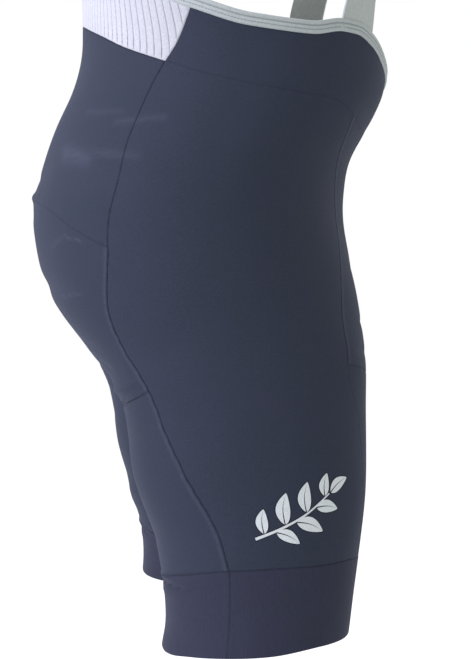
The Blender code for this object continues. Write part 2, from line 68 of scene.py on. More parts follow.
RIB_LEAN_START = 0.03
TAPE_WIDTH = 8.5
STRAP_WIDTH = 35
LEFT_BAND_LIFT = 10.5

# Sections of the worn shape: below the crotch one leg, above it one half of the seat and torso.
SECTION_COLUMNS = ("height", "leg_centre", "outer", "inner", "front", "back")
SECTIONS = (
    (-30, 113, 70, 62, -97, 33),
    (20, 108, 72, 66, -105, 30),
    (70, 103, 75, 71, -113, 37),
    (120, 97, 79, 76, -119, 53),
    (170, 90, 84, 81, -120, 60),
    (192, 87, 87, 87, -121, 71),
    (215, 60, 113, 86, -124, 86),
    (245, 34, 139, 90, -124, 109),
    (280, 14, 159, 120, -120, 121),
    (315, 0, 172, 172, -116, 126),
    (350, 0, 168, 168, -120, 118),
    (385, 0, 158, 158, -139, 106),
    (415, 0, 151, 151, -151.5, 92),
    (445, 0, 149, 149, -151.5, 86),
    (480, 0, 152, 152, -152, 86),
    (540, 0, 158, 158, -149, 90),
    (600, 0, 163, 163, -145, 100),
    (660, 0, 164, 164, -138, 108),
    (700, 0, 161, 161, -130, 109),
)
SECTION_SOFTENING = (-10, -5, 0, 5, 10)
MEETING_REACH = 24

# Places where seams and edges meet, as turn and height.
SEAM_COLUMNS = ("turn", "height")
BACK_CORNER = (115.5, 420)
SEAT_CORNER = (118, 288)
INNER_CORNER = (140, 188)
SIDE_FOOT = (114, 64)
FRONT_TOP = (51.5, 385)
FRONT_INNER = (44, 205)
FRONT_FOOT = (22, 63)
FRONT_INNER_AGAIN = (404, 205)
FRONT_FOOT_AGAIN = (382, 63)
CROTCH = (270, CROTCH_HEIGHT)
BELLY_CORNER = (109, 457)
STRAP_REAR = (64.5, 444)
STRAP_FRONT = (50, 438)
ARMHOLE_TOP = (146.5, 680)
BACK_CENTRE = (CENTRE_BACK_TURN, 462)
SEAT_CENTRE = (CENTRE_BACK_TURN, 329)
BELLY_CENTRE = (0, 410)
WAIST_CENTRE = (0, 364)

# Seams and edges, each a row for a place that it passes through.
SIDE_BACK_SEAM = (
    BACK_CORNER, (117, 405), (115.5, 376), (113.5, 335), SEAT_CORNER, (131.5, 231),
    (138.5, 204), INNER_CORNER, (139.5, 172), (130, 131), (118, 92), SIDE_FOOT,
)
FRONT_SEAM = (
    FRONT_TOP, (50, 350), (45.5, 298), (48.5, 240), FRONT_INNER, (32, 161), (27, 120), FRONT_FOOT,
)
WAIST_SEAM = (
    BACK_CORNER, (101, 409), (80, 399), (62, 394), FRONT_TOP, (37, 375), WAIST_CENTRE,
)
SEAT_SEAM = (SEAT_CORNER, (129.5, 303), (143.5, 317), SEAT_CENTRE)
INNER_LEG_SEAM = (
    INNER_CORNER, (150, 182), (166, 176), (200, 174), (240, 181), CROTCH,
    (310, 188), (345, 190), FRONT_INNER_AGAIN,
)
BAND_SEAM = (
    FRONT_FOOT, (45, 66), (80, 66), SIDE_FOOT, (140, 58), (180, 49), (225, 45), (270, 46),
    (315, 53), (360, 61), FRONT_FOOT_AGAIN,
)
HEM = (
    (22, 8), (60, 8.5), (90, 5), (116, 3), (140, 0), (160, -3.6), (178, -5), (192, -5),
    (225, -5), (270, -1), (315, 4), (360, 7), (382, 8),
)
BAND_SIDE_SEAM = ((113.5, 64), (114.5, 30), (115, 3))
FRONT_EDGE = (
    BELLY_CENTRE, (8, 410.9), (20, 415.2), (35, 424.6), STRAP_FRONT, (58, 443.5), STRAP_REAR,
    (75, 440), (92.5, 444), BELLY_CORNER, (114, 462), (120, 470), (128, 492), (135, 532),
    (140, 590), ARMHOLE_TOP,
)
BACK_EDGE = (BACK_CORNER, (120.5, 424), (130.5, 432), (145.5, 444.5), (165, 456), BACK_CENTRE)
BIB_END_SEAM = (BACK_CORNER, (112.8, 432.5), (110.5, 447), BELLY_CORNER)

# Each seam's rows, and how deep it sinks at its first and at its last place, in mm.
SEAM_TABLE = {
    "side_back": (SIDE_BACK_SEAM, 0.36, 0.3),
    "front": (FRONT_SEAM, 0.04, 0.16),
    "waist": (WAIST_SEAM, 0.09, 0.04),
    "seat": (SEAT_SEAM, 0.14, 0.12),
    "inner_leg": (INNER_LEG_SEAM, 0.26, 0.26),
    "band": (BAND_SEAM, 0.2, 0.2),
    "band_side": (BAND_SIDE_SEAM, 0.26, 0.22),
    "back_edge": (BACK_EDGE, 0.6, 0.6),
    "bib_end": (BIB_END_SEAM, 0.6, 0.6),
    "front_edge": (FRONT_EDGE, 0.5, 0.5),
}

# The strap's middle line over the shoulder, and the way that its outer face looks.
STRAP_COLUMNS = ("side", "depth", "height", "face_side", "face_depth", "face_up")
STRAP_ROUTE = (
    (118, -116, 490, 0.70, -0.72, 0.00),
    (108, -128, 545, 0.56, -0.83, 0.02),
    (97, -133, 605, 0.42, -0.90, 0.06),
    (86, -127, 665, 0.34, -0.92, 0.16),
    (78, -108, 722, 0.29, -0.87, 0.38),
    (73, -76, 772, 0.27, -0.68, 0.68),
    (71, -36, 808, 0.26, -0.36, 0.90),
    (71, 5, 824, 0.24, 0.00, 0.97),
    (70, 46, 807, 0.22, 0.42, 0.88),
    (68, 80, 770, 0.19, 0.76, 0.62),
    (66, 100, 725, 0.16, 0.95, 0.28),
)
STRAP_FOOT_SIDE = (84, 47)
BACKWARD = (0, 1, 0)
UPWARD = (0, 0, 1)

# Walls of the shells, and what the cloth does near its seams and edges. Lengths are in mm.
CLOTH_WALL = 1.0
BAND_WALL = 1.4
TAPE_WALL = 2.0
STRAP_WALL = 1.4
BAND_PROUD = 0.2
TAPE_PROUD = 0.5
SEAM_INSET = 0.03
ROLL_REACH = 1.3
SEAM_WANDER = 0.3
SHADE_GAIN = 1.35
SHADE_SPREAD = 0.75
SEAM_SHADE = (15, 17, 26)
SWAY = 0.3
SWAY_REACH = 8.0
SWAY_WAVE = 13.0
SWAY_DRIFT = (2, 0.31)
SWAY_START = 0.4
SWAY_FADE = 6
ALLOWANCE_WIDTH = 5.0
ALLOWANCE_LIFT = 0.16
ALLOWANCE_SLOPE = 2.2
# The painted highlight beside each allowance's seam: its place and spread in mm from the seam, and its
# strength.
STRIP_PLACE = 2.4
STRIP_SPREAD = 1.2
STRIP_STRENGTH = 0.6
PUCKER_REACH = 9.0
PUCKER_LIFT = 0.1
PUCKER_WAVE = 8.5
PUCKER_DRIFT = (1.7, 0.23)
PUCKER_SWELL = 0.11
EDGE_ROLL_DEPTH = 0.35
BAND_ROLL_REACH = 1.2
BAND_COLUMNS = 180
BAND_TALL = 60
EDGE_STEPS = (0, 0.3, 0.6, 0.95, 1.3, 1.9, 2.7, 3.8, 5.2)
CLOTH_STEP = 2.4
TRACE_STEPS = 240
SEAM_POINTS = 110
NORMAL_STEP = 0.4
NEAR_MIDDLE = 0.01
LEAST_BIB_SIDE = 1.5
SHARP_DEGREES = 50
BLOCK = 1500
TINY = 1e-9

# Folds of the cloth, from one place to another: rise of the middle (bow), width across, depth
# below the cloth (a ridge is negative), and the share of that depth on the right and the left half.
CREASE_COLUMNS = ("turn", "height", "end_turn", "end_height", "bow", "width", "depth", "right", "left")
CREASES = (
    (206, 43.5, 132, 46.5, 0.0, 1.5, 2.6, 1.0, 0.8),
    (198, 38.0, 146, 40.0, -1.0, 2.6, -0.6, 1.0, 0.6),
    (204, 47.0, 130, 54.0, 0.0, 2.0, -1.2, 1.0, 0.8),
    (184, 48.4, 122, 62.8, 0.0, 1.3, 0.8, 1.0, 0.8),
    (150, -5, 214, -6, 0.0, 14.0, -2.5, 1.0, 0.2),
    (150, 76, 208, 76, 0.0, 16.0, -3.1, 0.0, 1.0),
    (143, 291, 128, 298, 1.5, 2.2, -0.30, 1.0, 0.7),
    (155, 252, 136, 256, -1.0, 2.4, -0.30, 1.0, 0.9),
    (150, 262, 137, 268, 0.0, 4.0, 0.25, 1.0, 0.5),
    (141, 195, 198, 184, -5.0, 4.0, -1.8, 1.0, 0.0),
    (139, 187, 212, 172, -7.0, 1.2, 1.0, 1.0, 0.0),
    (156, 183, 216, 170.5, -5.5, 1.5, 1.6, 1.0, 0.0),
    (143, 194, 174, 187, -4.0, 4.0, -1.2, 0.0, 1.0),
    (140, 187, 178, 180, -5.0, 2.0, 2.2, 0.0, 1.0),
    (146, 203, 222, 186, 0.0, 15.0, 2.0, 1.0, 0.8),
    (156, 328, 204, 328, 0.0, 4.6, -2.2, 0.5, 0.5),
    (156, 342, 204, 342, 0.0, 5.0, 0.8, 0.5, 0.5),
    (156, 314, 204, 314, 0.0, 6.0, 0.5, 0.5, 0.5),
    (140, 257, 206, 259, 0.0, 10.0, 1.8, 1.0, 1.0),
    (119.5, 294, 117.6, 279, 0.0, 1.3, 0.6, 1.0, 0.8),
    (122, 286, 119, 272, 0.0, 2.2, -0.3, 1.0, 0.8),
    (146, 168, 180, 160, 3.0, 6.0, -0.5, 1.0, 1.0),
    (152, 150, 188, 140, 4.0, 7.0, 0.5, 0.8, 1.0),
    (150, 90, 186, 84, -3.0, 5.5, 0.45, 0.7, 1.0),
    (166, 76, 204, 70, 2.0, 4.5, 0.6, 1.0, 0.7),
    (176, 112, 214, 102, 3.0, 7.0, 0.5, 1.0, 0.8),
    (262, 178, 214, 160, -5.0, 6.0, 0.8, 1.0, 0.8),
    (268, 160, 226, 138, -4.0, 6.5, 0.6, 0.8, 1.0),
    (278, 172, 322, 160, 4.0, 5.0, 0.9, 1.0, 0.9),
    (284, 150, 330, 132, 3.0, 6.0, 0.7, 0.8, 1.0),
    (300, 112, 346, 100, -3.0, 6.0, 0.5, 1.0, 0.6),
    (256, 84, 300, 88, 2.0, 5.0, 0.5, 0.8, 1.0),
    (330, 78, 368, 84, 2.0, 4.5, 0.5, 1.0, 0.8),
    (-3, 214, 30, 236, 3.0, 5.0, 0.9, 1.0, 0.9),
    (-2, 230, 24, 262, 3.0, 6.0, 0.7, 0.9, 1.0),
    (6, 206, 40, 214, 2.0, 5.0, 0.6, 1.0, 0.8),
    (14, 262, 42, 306, -4.0, 9.0, 0.6, 1.0, 0.9),
    (8, 300, 30, 330, 3.0, 9.0, 0.4, 0.8, 1.0),
    (176, 226, 152, 214, -3.0, 6.0, 0.7, 1.0, 0.8),
    (178, 250, 158, 238, -3.0, 8.0, 0.5, 0.9, 1.0),
    (176, 212, 158, 200, -3.0, 5.0, 0.8, 0.9, 1.0),
    (10, 372, 46, 388, 2.0, 6.0, 0.35, 1.0, 0.7),
    (128, 414, 150, 426, -2.0, 7.0, 0.30, 0.8, 1.0),
    (150, 404, 176, 410, 2.0, 8.0, 0.35, 1.0, 0.8),
    (66, 42, 100, 38, 1.0, 6.0, 0.2, 1.0, 1.0),
    (205, 34, 250, 30, -2.0, 5.0, 0.5, 0.9, 1.0),
    (176, 476, 140, 470, 2.0, 7.0, 0.6, 1.0, 0.8),
    (172, 496, 146, 488, -2.0, 9.0, 0.5, 0.8, 1.0),
    (150, 600, 168, 560, 4.0, 10.0, 0.5, 1.0, 0.8),
)
CREASE_POINTS = 14
CREASE_SPREAD = 2.4
CREASE_TAPER = 0.7

# Soft long waves of the cloth: wavelength and height in mm, way, and phase.
WAVES = (
    (92, 0.22, (0.2, 0.5, 0.85), 0.4),
    (61, 0.14, (0.7, -0.3, 0.6), 2.1),
    (38, 0.07, (-0.4, 0.8, 0.45), 4.4),
)

# Paler patches painted into the colour: turn, height, end turn, end height, width, strength.
PALE_COLUMNS = ("turn", "height", "end_turn", "end_height", "width", "strength")
# The last three rows are painted highlights along crease ridges of the seat and leg; the first four are
# paler smears.
PALE_PATCHES = (
    (141, 358, 127, 352, 6.5, 0.75),
    (145, 361, 110, 352, 3.0, 0.45),
    (122, 377, 108, 379, 2.6, 0.5),
    (138, 387, 122, 385, 2.4, 0.35),
    (146, 288, 134, 297, 0.9, 0.75),
    (134, 297, 127, 293, 0.8, 0.65),
    (155, 252, 136, 256, 1.1, 0.6),
)
LEFT_PALE_SHARE = 0.6

RIB_STEPS = (0, 0.05, 0.1, 0.17, 0.3, 0.5, 0.7, 0.83, 0.9, 0.95)
RIB_CROWN = 0.1
RIB_GROOVE = 0.4
RIB_GROOVE_SHARE = 0.06
RIB_CLEAR = 0.6
RIB_FADE = 1.6
# The grooves are darkest within this reach of the bib's lower seam, and fainter above it.
RIB_STROKE = 8
RIB_STROKE_FADE = 2
RIB_FAINT = 0.5
BIB_TALL = 250
BIB_STEP = 4.0
BIB_HEM = 8
BIB_HEM_LIFT = 0.5
BIB_HEM_SLOPE = 1.5

# The tape's cross-section from its lower edge up: share of the width, and lift in mm.
TAPE_PROFILE = (
    (-0.10, -0.15), (-0.06, 0.30), (0.00, 0.58), (0.09, 0.68), (0.17, 0.62), (0.21, 0.48),
    (0.25, 0.42), (0.29, 0.48), (0.36, 0.60), (0.44, 0.62), (0.50, 0.52), (0.545, 0.32),
    (0.59, 0.14), (0.635, 0.30), (0.69, 0.58), (0.78, 0.72), (0.88, 0.76), (0.95, 0.60),
    (1.00, 0.10),
)
# Painted shade: between these shares of the width, the tape's colour darkens where its lift falls below
# the next value, the deeper the darker.
TAPE_GROOVES = (0.2, 0.7)
TAPE_SHADE_LIFT = 0.5
TAPE_STEP = 1.6
STITCH_PITCH = 2.4
STITCH_LENGTH = 1.5
STITCH_RADIUS = 0.22
STITCH_SHARE = 0.25
STITCH_SIDES = 6
STITCH_SHAPE = ((-0.5, 0.35), (-0.36, 0.9), (0, 1), (0.36, 0.9), (0.5, 0.35))
TAPE_STITCH_LIFT = 0.5

STRAP_STEP = 2.5
STRAP_COLUMNS_COUNT = 28
STRAP_CORDS = 9
STRAP_CORD_LIFT = 0.12
STRAP_CORD_MARGIN = 2.5
STRAP_ROLL_REACH = 1.5
STRAP_HEM = 9
STRAP_TUCK = 2.6
STRAP_TUCK_REACH = 5
STRAP_TURN_IN = 26
STRAP_TURN_OUT = 30
HEM_ROWS = 5
STRAP_OVERLAP = 20
OVERLAP_ROWS = 8
OVERLAP_PROUD = 1.9
OVERLAP_PROUD_REACH = 12
OVERLAP_WAY = (-0.25, 1.0, 0.0)
BOX_MARGIN = 3

# The print above the knee, a sprig of leaves. Its plane is in mm, x towards the front, y up.
PRINT_CENTRE = (73, 104)
PRINT_LIFT = 0.14
OUTLINE_LIFT = 0.07
STEM = ((-35, -17), (-18, -11), (2, -2), (16, 7), (23, 12))
STEM_WIDTH = (1.9, 1.0)
STEM_POINTS = 40
STEM_OUTLINE_SHARE = 0.8
LEAF_COLUMNS = ("along", "side", "angle", "length", "width")
LEAVES = (
    (0.12, 1, 66, 17, 8.6),
    (0.24, -1, 48, 18, 8.6),
    (0.38, 1, 60, 22, 10.4),
    (0.50, -1, 46, 21, 10.2),
    (0.66, 1, 54, 21, 9.8),
    (0.78, -1, 42, 18, 9.0),
    (0.93, 1, 46, 16, 8.0),
    (1.00, -1, 6, 18, 8.8),
)
MIDRIB_WIDTH = 0.9
OUTLINE_WIDTH = 0.8
LEAF_POINTS = 18
LEAF_STALK = 1.6
LEAF_WIDEST = 0.8
LEAF_FULLNESS = 0.8
LEAF_BEND = 0.08
PRINT_COLUMNS = 5

# Materials.
KNIT_ROW_SHARE = 0.6
KNIT_FUZZ = 2.5
PALE_STRENGTH = 0.3
DASHES_PER_METRE = 240
DASH_WANDER = 14
NAVY_FINISH = {
    "roughness": 0.75, "specular": 0.1, "sheen": 0.05, "sheen_roughness": 0.35,
    "tint": (0.6, 0.68, 1.0, 1),
}

# Camera, floor and light, in metres and degrees in the part's frame.
PHOTO_TALL = 659
SENSOR = 36
FOCAL_PIXELS = 1490
CAMERA_AZIMUTH = -98
CAMERA_ELEVATION = 3
CAMERA_DISTANCE = 1.2
CAMERA_TARGET = (0, -0.041, -0.602)
FLOOR_HEIGHT = -1.32
FLOOR_SIZE = 14
FLOOR_WHITE = (0.98, 0.98, 0.98, 1)
WORLD_WHITE = (1, 1, 1, 1)
WORLD_STRENGTH = 1.0
LIGHT_PLACE = (-0.8, 2.2, 0.75)
LIGHT_TARGET = (0, 0, -0.55)
LIGHT_SIZE = 1.3
LIGHT_WATTS = 92
LIGHT_COLOUR = (0.97, 0.93, 1.17)


def srgb(*channels):
    """Linear opaque colour of 0 to 255 screen values."""
    values = [c / 255 for c in channels]
    return (*(v / 12.92 if v <= 0.04045 else ((v + 0.055) / 1.055) ** 2.4 for v in values), 1)


def table_column(table, columns, name):
    return np.array([row[columns.index(name)] for row in table], float)


def smooth(places, values, at):
    """A cubic through each row that never overshoots between two rows."""
    steps = np.diff(places)
    slopes = np.diff(values) / steps
    before, after = slopes[:-1], slopes[1:]
    same_way = before * after > 0
    mean = 2 * before * after / np.where(same_way, before + after, 1)
    tangents = np.concatenate([slopes[:1], np.where(same_way, mean, 0), slopes[-1:]])
    at = np.clip(at, places[0], places[-1])
    row = np.clip(np.searchsorted(places, at) - 1, 0, len(steps) - 1)
    part = (at - places[row]) / steps[row]
    step = steps[row]
    start = (1 + 2 * part) * (1 - part) ** 2 * values[row]
    end = part ** 2 * (3 - 2 * part) * values[row + 1]
    leave = part * (1 - part) ** 2 * step * tangents[row]
    arrive = part ** 2 * (part - 1) * step * tangents[row + 1]
    return start + end + leave + arrive


def smooth_line(rows, places, at):
    return np.stack([smooth(places, column, at) for column in rows.T], axis=1)


def straight_line(rows, places, at):
    return np.stack([np.interp(at, places, column) for column in rows.T], axis=1)


def ease(value):
    value = np.clip(value, 0, 1)
    return value * value * (3 - 2 * value)


def soft_section_table():
    """The sections every mm, each the mean of its surroundings. The legs still meet at the crotch."""
    heights = table_column(SECTIONS, SECTION_COLUMNS, "height")
    fine = np.arange(heights[0], heights[-1] + 1, 1.0)
    columns = {}
    for name in SECTION_COLUMNS[1:]:
        values = table_column(SECTIONS, SECTION_COLUMNS, name)
        columns[name] = np.mean([smooth(heights, values, fine + k) for k in SECTION_SOFTENING], axis=0)
    past_middle = np.interp(CROTCH_HEIGHT, fine, columns["inner"] - columns["leg_centre"])
    columns["inner"] -= past_middle * ease(1 - np.abs(fine - CROTCH_HEIGHT) / MEETING_REACH)
    return fine, columns


SOFT_HEIGHTS, SOFT_SECTIONS = soft_section_table()


def section(height):
    return {name: np.interp(height, SOFT_HEIGHTS, column) for name, column in SOFT_SECTIONS.items()}


def rounded(share):
    """How far an oval reaches along one axis at a share of its reach along the other."""
    return np.clip(1 - np.abs(share) ** SQUARENESS, 0, 1) ** (1 / SQUARENESS)


def bridge(x, y, turn, height, sizes, middle, depth):
    """Cloth that spans the groove between the two legs instead of sinking into it."""
    share = np.maximum(ease((height - CROTCH_HEIGHT) / BRIDGE_RISE), BRIDGE_RISE_START)
    side = np.abs(x)
    near = np.clip(1 - side / (BRIDGE_FADE * share), 0, 1)
    offset = side + BRIDGE_REACH * share * near ** 3 - sizes["leg_centre"]
    width = np.where(offset > 0, sizes["outer"], sizes["inner"])
    facing = np.sign(np.cos(np.radians(turn)))
    spanned = middle - facing * depth * rounded(offset / width)
    return np.where((near > 0) & (height > CROTCH_HEIGHT), spanned, y)


def surface(turn, height):
    """Outer face of the cloth at a turn and a height, on the wearer's right."""
    turn, height = np.broadcast_arrays(np.asarray(turn, float), np.asarray(height, float))
    sizes = section(height)
    middle = (sizes["front"] + sizes["back"]) / 2
    depth = (sizes["back"] - sizes["front"]) / 2
    across, along = np.sin(np.radians(turn)), np.cos(np.radians(turn))
    width = np.where(across >= 0, sizes["outer"], sizes["inner"])
    powers = np.abs(across / width) ** SQUARENESS + np.abs(along / depth) ** SQUARENESS
    reach = powers ** (-1 / SQUARENESS)
    x = -(sizes["leg_centre"] + reach * across)
    y = bridge(x, middle - reach * along, turn, height, sizes, middle, depth)
    return np.stack([x, y, height], axis=-1)


def unit(vectors):
    return vectors / np.maximum(np.linalg.norm(vectors, axis=-1, keepdims=True), TINY)


def cloth_points(cells):
    return surface(cells[..., 0], cells[..., 1])


def facing_out(turn, height):
    step = NORMAL_STEP
    round_way = surface(turn + step, height) - surface(turn - step, height)
    up_way = surface(turn, height + step) - surface(turn, height - step)
    normals = unit(np.cross(up_way, round_way))
    centred = np.abs(surface(turn, height)[..., 0]) < NEAR_MIDDLE
    normals[centred, 0] = 0
    return unit(normals)


def centre_turn(height, back):
    """Turn at which the right half meets the middle plane."""
    sizes = section(height)
    depth = (sizes["back"] - sizes["front"]) / 2 * rounded(sizes["leg_centre"] / sizes["inner"])
    swing = np.degrees(np.arctan2(sizes["leg_centre"], depth))
    return CENTRE_BACK_TURN + swing if back else -swing


def lengths_along(points):
    return np.concatenate([[0], np.cumsum(np.linalg.norm(np.diff(points, axis=0), axis=1))])


def cloth_length(line):
    return lengths_along(cloth_points(line))[-1]


def trace(rows):
    """A smooth dense line of turns and heights through the rows of a seam."""
    rows = np.array(rows, float)
    places = lengths_along(cloth_points(rows))
    return smooth_line(rows, places, np.linspace(0, places[-1], TRACE_STEPS))


def between(rows, column, start, end):
    """The dense line of a seam between two of its places, found by their turns or heights."""
    line = trace(rows)
    key = SEAM_COLUMNS.index(column)
    keys, start, end = line[:, key], start[key], end[key]
    order = np.argsort(keys)
    inside = line[(keys > min(start, end)) & (keys < max(start, end))]
    if (keys[-1] - keys[0]) * (end - start) < 0:
        inside = inside[::-1]
    ends = straight_line(line[order], keys[order], (start, end))
    return np.vstack([ends[0], inside, ends[1]])


def at_shares(line, shares):
    """Places on a line at shares of its length on the cloth."""
    places = lengths_along(cloth_points(line))
    return straight_line(line, places, shares * places[-1])


def centre_line(top, bottom, back):
    heights = np.linspace(top[1], bottom[1], TRACE_STEPS)
    return np.stack([centre_turn(heights, back), heights], axis=1)


def joined(*lines):
    return np.vstack([lines[0]] + [line[1:] for line in lines[1:]])


def spaced(length, step, fine_end=True):
    """Shares of a length, a step apart, and closer together near a seam."""
    start = np.array(EDGE_STEPS, float)
    end = np.array(EDGE_STEPS if fine_end else (0,), float)
    count = int(math.ceil((length - start[-1] - end[-1]) / step))
    middle = np.linspace(start[-1], length - end[-1], count + 1)
    return np.concatenate([start[:-1], middle, length - end[-2::-1]]) / length


def patch(top, bottom, left, right, open_right=False):
    """Turns and heights inside four seams. Rows run down, columns run from left to right."""
    wide = (cloth_length(top) + cloth_length(bottom)) / 2
    tall = (cloth_length(left) + cloth_length(right)) / 2
    shares_across = spaced(wide, CLOTH_STEP, fine_end=not open_right)
    shares_down = spaced(tall, CLOTH_STEP)
    top, bottom = at_shares(top, shares_across), at_shares(bottom, shares_across)
    left, right = at_shares(left, shares_down), at_shares(right, shares_down)
    across = shares_across[None, :, None]
    down = shares_down[:, None, None]
    between_rows = (1 - down) * top[None] + down * bottom[None]
    between_columns = (1 - across) * left[:, None] + across * right[:, None]
    corners = (
        (1 - down) * ((1 - across) * top[0] + across * top[-1])
        + down * ((1 - across) * bottom[0] + across * bottom[-1])
    )
    return between_rows + between_columns - corners


def on_cloth(cells):
    return cloth_points(cells), facing_out(cells[..., 0], cells[..., 1])


def mirrored(points):
    return points * np.array([-1, 1, 1])


def with_mirror(points, normals):
    """Both halves of a panel whose last column lies on the middle plane."""
    points[:, -1, 0] = 0
    return (
        np.concatenate([points, mirrored(points)[:, -2::-1]], axis=1),
        np.concatenate([normals, mirrored(normals)[:, -2::-1]], axis=1),
    )


def distance(points, line, reach):
    """Distance from each point to a line, up to a reach, and the share along it."""
    found = np.full(points.shape[:-1], float(reach))
    share = np.zeros(points.shape[:-1])
    low, high = line.min(axis=0) - reach, line.max(axis=0) + reach
    close = np.all((points > low) & (points < high), axis=-1)
    picked = points[close]
    starts, runs = line[:-1], np.diff(line, axis=0)
    squares = np.maximum(np.sum(runs ** 2, axis=1), TINY)
    gaps, places = [], []
    for first in range(0, len(picked), BLOCK):
        block = picked[first:first + BLOCK, None] - starts[None]
        along = np.clip(np.sum(block * runs[None], axis=2) / squares, 0, 1)
        apart = np.linalg.norm(block - along[..., None] * runs[None], axis=2)
        best = apart.argmin(axis=1)
        rows = np.arange(len(best))
        gaps.append(apart[rows, best])
        places.append((best + along[rows, best]) / len(starts))
    if gaps:
        found[close] = np.minimum(np.concatenate(gaps), reach)
        share[close] = np.concatenate(places)
    return found, share


def seam_lines():
    """Every seam of both halves as points in mm."""
    seams = {}
    for name, (rows, _, _) in SEAM_TABLE.items():
        line = cloth_points(at_shares(trace(rows), np.linspace(0, 1, SEAM_POINTS)))
        seams[name] = (line, mirrored(line))
    return seams


SEAMS = seam_lines()


def run_on_cloth(row):
    """Points from one place to another, bowed upward between them if the row says so."""
    share = np.linspace(0, 1, CREASE_POINTS)
    turns = row["turn"] + share * (row["end_turn"] - row["turn"])
    heights = row["height"] + share * (row["end_height"] - row["height"])
    return surface(turns, heights + row.get("bow", 0) * 4 * share * (1 - share))


def crease_lines():
    """Each fold on both halves: its points, width and depth."""
    folds = []
    for row in CREASES:
        fold = dict(zip(CREASE_COLUMNS, row))
        line = run_on_cloth(fold)
        folds.append((line, fold["width"], fold["depth"] * fold["right"]))
        folds.append((mirrored(line), fold["width"], fold["depth"] * fold["left"]))
    return folds


FOLDS = crease_lines()


def folded(points):
    """Lift of the cloth from its folds and long waves."""
    lift = np.zeros(points.shape[:-1])
    for line, width, depth in FOLDS:
        gap, share = distance(points, line, width * CREASE_SPREAD)
        taper = np.sin(np.pi * np.clip(share, 0, 1)) ** CREASE_TAPER
        edge = ease(1 - gap / (width * CREASE_SPREAD))
        lift -= depth * np.exp(-(gap / width) ** 2) * taper * edge
    for length, height, way, phase in WAVES:
        lift += height * np.sin(points @ unit(np.array(way)) * 2 * np.pi / length + phase)
    return lift


def phase_along(line, share, wave):
    return share * lengths_along(line)[-1] * 2 * np.pi / wave


def drifting(phase, size, pace):
    """A wave whose length slowly changes."""
    return np.sin(phase + size * np.sin(phase * pace))


def seamed(points, seams, allowances=()):
    """Lift and shade near seams: the cloth rolls in, and the allowance under it shows."""
    lift, roll, shade = np.zeros((3, *points.shape[:-1]))
    for name in seams:
        _, first, last = SEAM_TABLE[name]
        for line in SEAMS[name]:
            gap, share = distance(points, line, PUCKER_REACH)
            phase = phase_along(line, share, PUCKER_WAVE)
            ripple = drifting(phase, *PUCKER_DRIFT) * np.sin(phase * PUCKER_SWELL + 1)
            lift += PUCKER_LIFT * ripple * ease(1 - gap / PUCKER_REACH)
            depth = (first + (last - first) * share) * (1 + SEAM_WANDER * ripple)
            roll = np.maximum(roll, depth * (1 - np.minimum(gap / ROLL_REACH, 1)) ** 2)
            shade = np.maximum(shade, depth * SHADE_GAIN * np.exp(-(gap / SHADE_SPREAD) ** 2))
            if name in allowances:
                lift += ALLOWANCE_LIFT * ease((ALLOWANCE_WIDTH - gap) / ALLOWANCE_SLOPE)
    return lift - roll, np.minimum(shade, 1)


def swayed(points, normals):
    """Sideways shift of the cloth where the side seam wanders."""
    shift = np.zeros(points.shape)
    across = unit(np.cross(normals, UPWARD))
    for line in SEAMS["side_back"]:
        gap, share = distance(points, line, SWAY_REACH)
        phase = phase_along(line, share, SWAY_WAVE)
        ends = ease((share - SWAY_START) * SWAY_FADE) * ease((1 - share) * SWAY_FADE)
        size = SWAY * drifting(phase, *SWAY_DRIFT) * ends * ease(1 - gap / SWAY_REACH)
        shift += across * size[..., None]
    return shift


def inset(points, sides):
    """The grid with each named side moved in by a little, so that seams stay open."""
    moved = points.copy()
    for side in sides:
        edge, next_in = (0, 1) if side in ("top", "left") else (-1, -2)
        if side in ("top", "bottom"):
            moved[edge] += SEAM_INSET * unit(points[next_in] - points[edge])
        else:
            moved[:, edge] += SEAM_INSET * unit(points[:, next_in] - points[:, edge])
    return moved


def edge_roll(gap, reach):
    """How far a cut edge turns in, at a distance from it."""
    return EDGE_ROLL_DEPTH * (1 - np.clip(gap / reach, 0, 1)) ** 2


def to_part_frame(points):
    return (points - np.array([0, SHOULDER_DEPTH, SHOULDER_HEIGHT])) * MM


def grid_faces(numbers, flip=False):
    a, b = numbers[:-1, :-1], numbers[1:, :-1]
    c, d = numbers[1:, 1:], numbers[:-1, 1:]
    order = (d, c, b, a) if flip else (a, b, c, d)
    return np.stack([k.ravel() for k in order], axis=1)


def edge_faces(outside, inside, flip):
    order = (outside[:-1], outside[1:], inside[1:], inside[:-1])
    return np.stack(order[::-1] if flip else order, axis=1)


def linked(name, data):
    made = bpy.data.objects.new(name, data)
    bpy.context.scene.collection.objects.link(made)
    return made


def mesh_object(name, vertices, faces, material, sharp=True):
    mesh = bpy.data.meshes.new(name)
    mesh.from_pydata(vertices.tolist(), [], faces)
    mesh.materials.append(material)
    mesh.shade_smooth()
    if sharp:
        mesh.set_sharp_from_angle(angle=math.radians(SHARP_DEGREES))
    return linked(name, mesh)


def outward(vertices, faces):
    """True if the faces' corners run anticlockwise seen from outside."""
    a, b, c = (vertices[faces[:, k]] for k in (0, 1, 2))
    d = vertices[faces[:, -1]]
    volume = np.sum(a * np.cross(b, c)) + np.sum(a * np.cross(c, d))
    return volume > 0


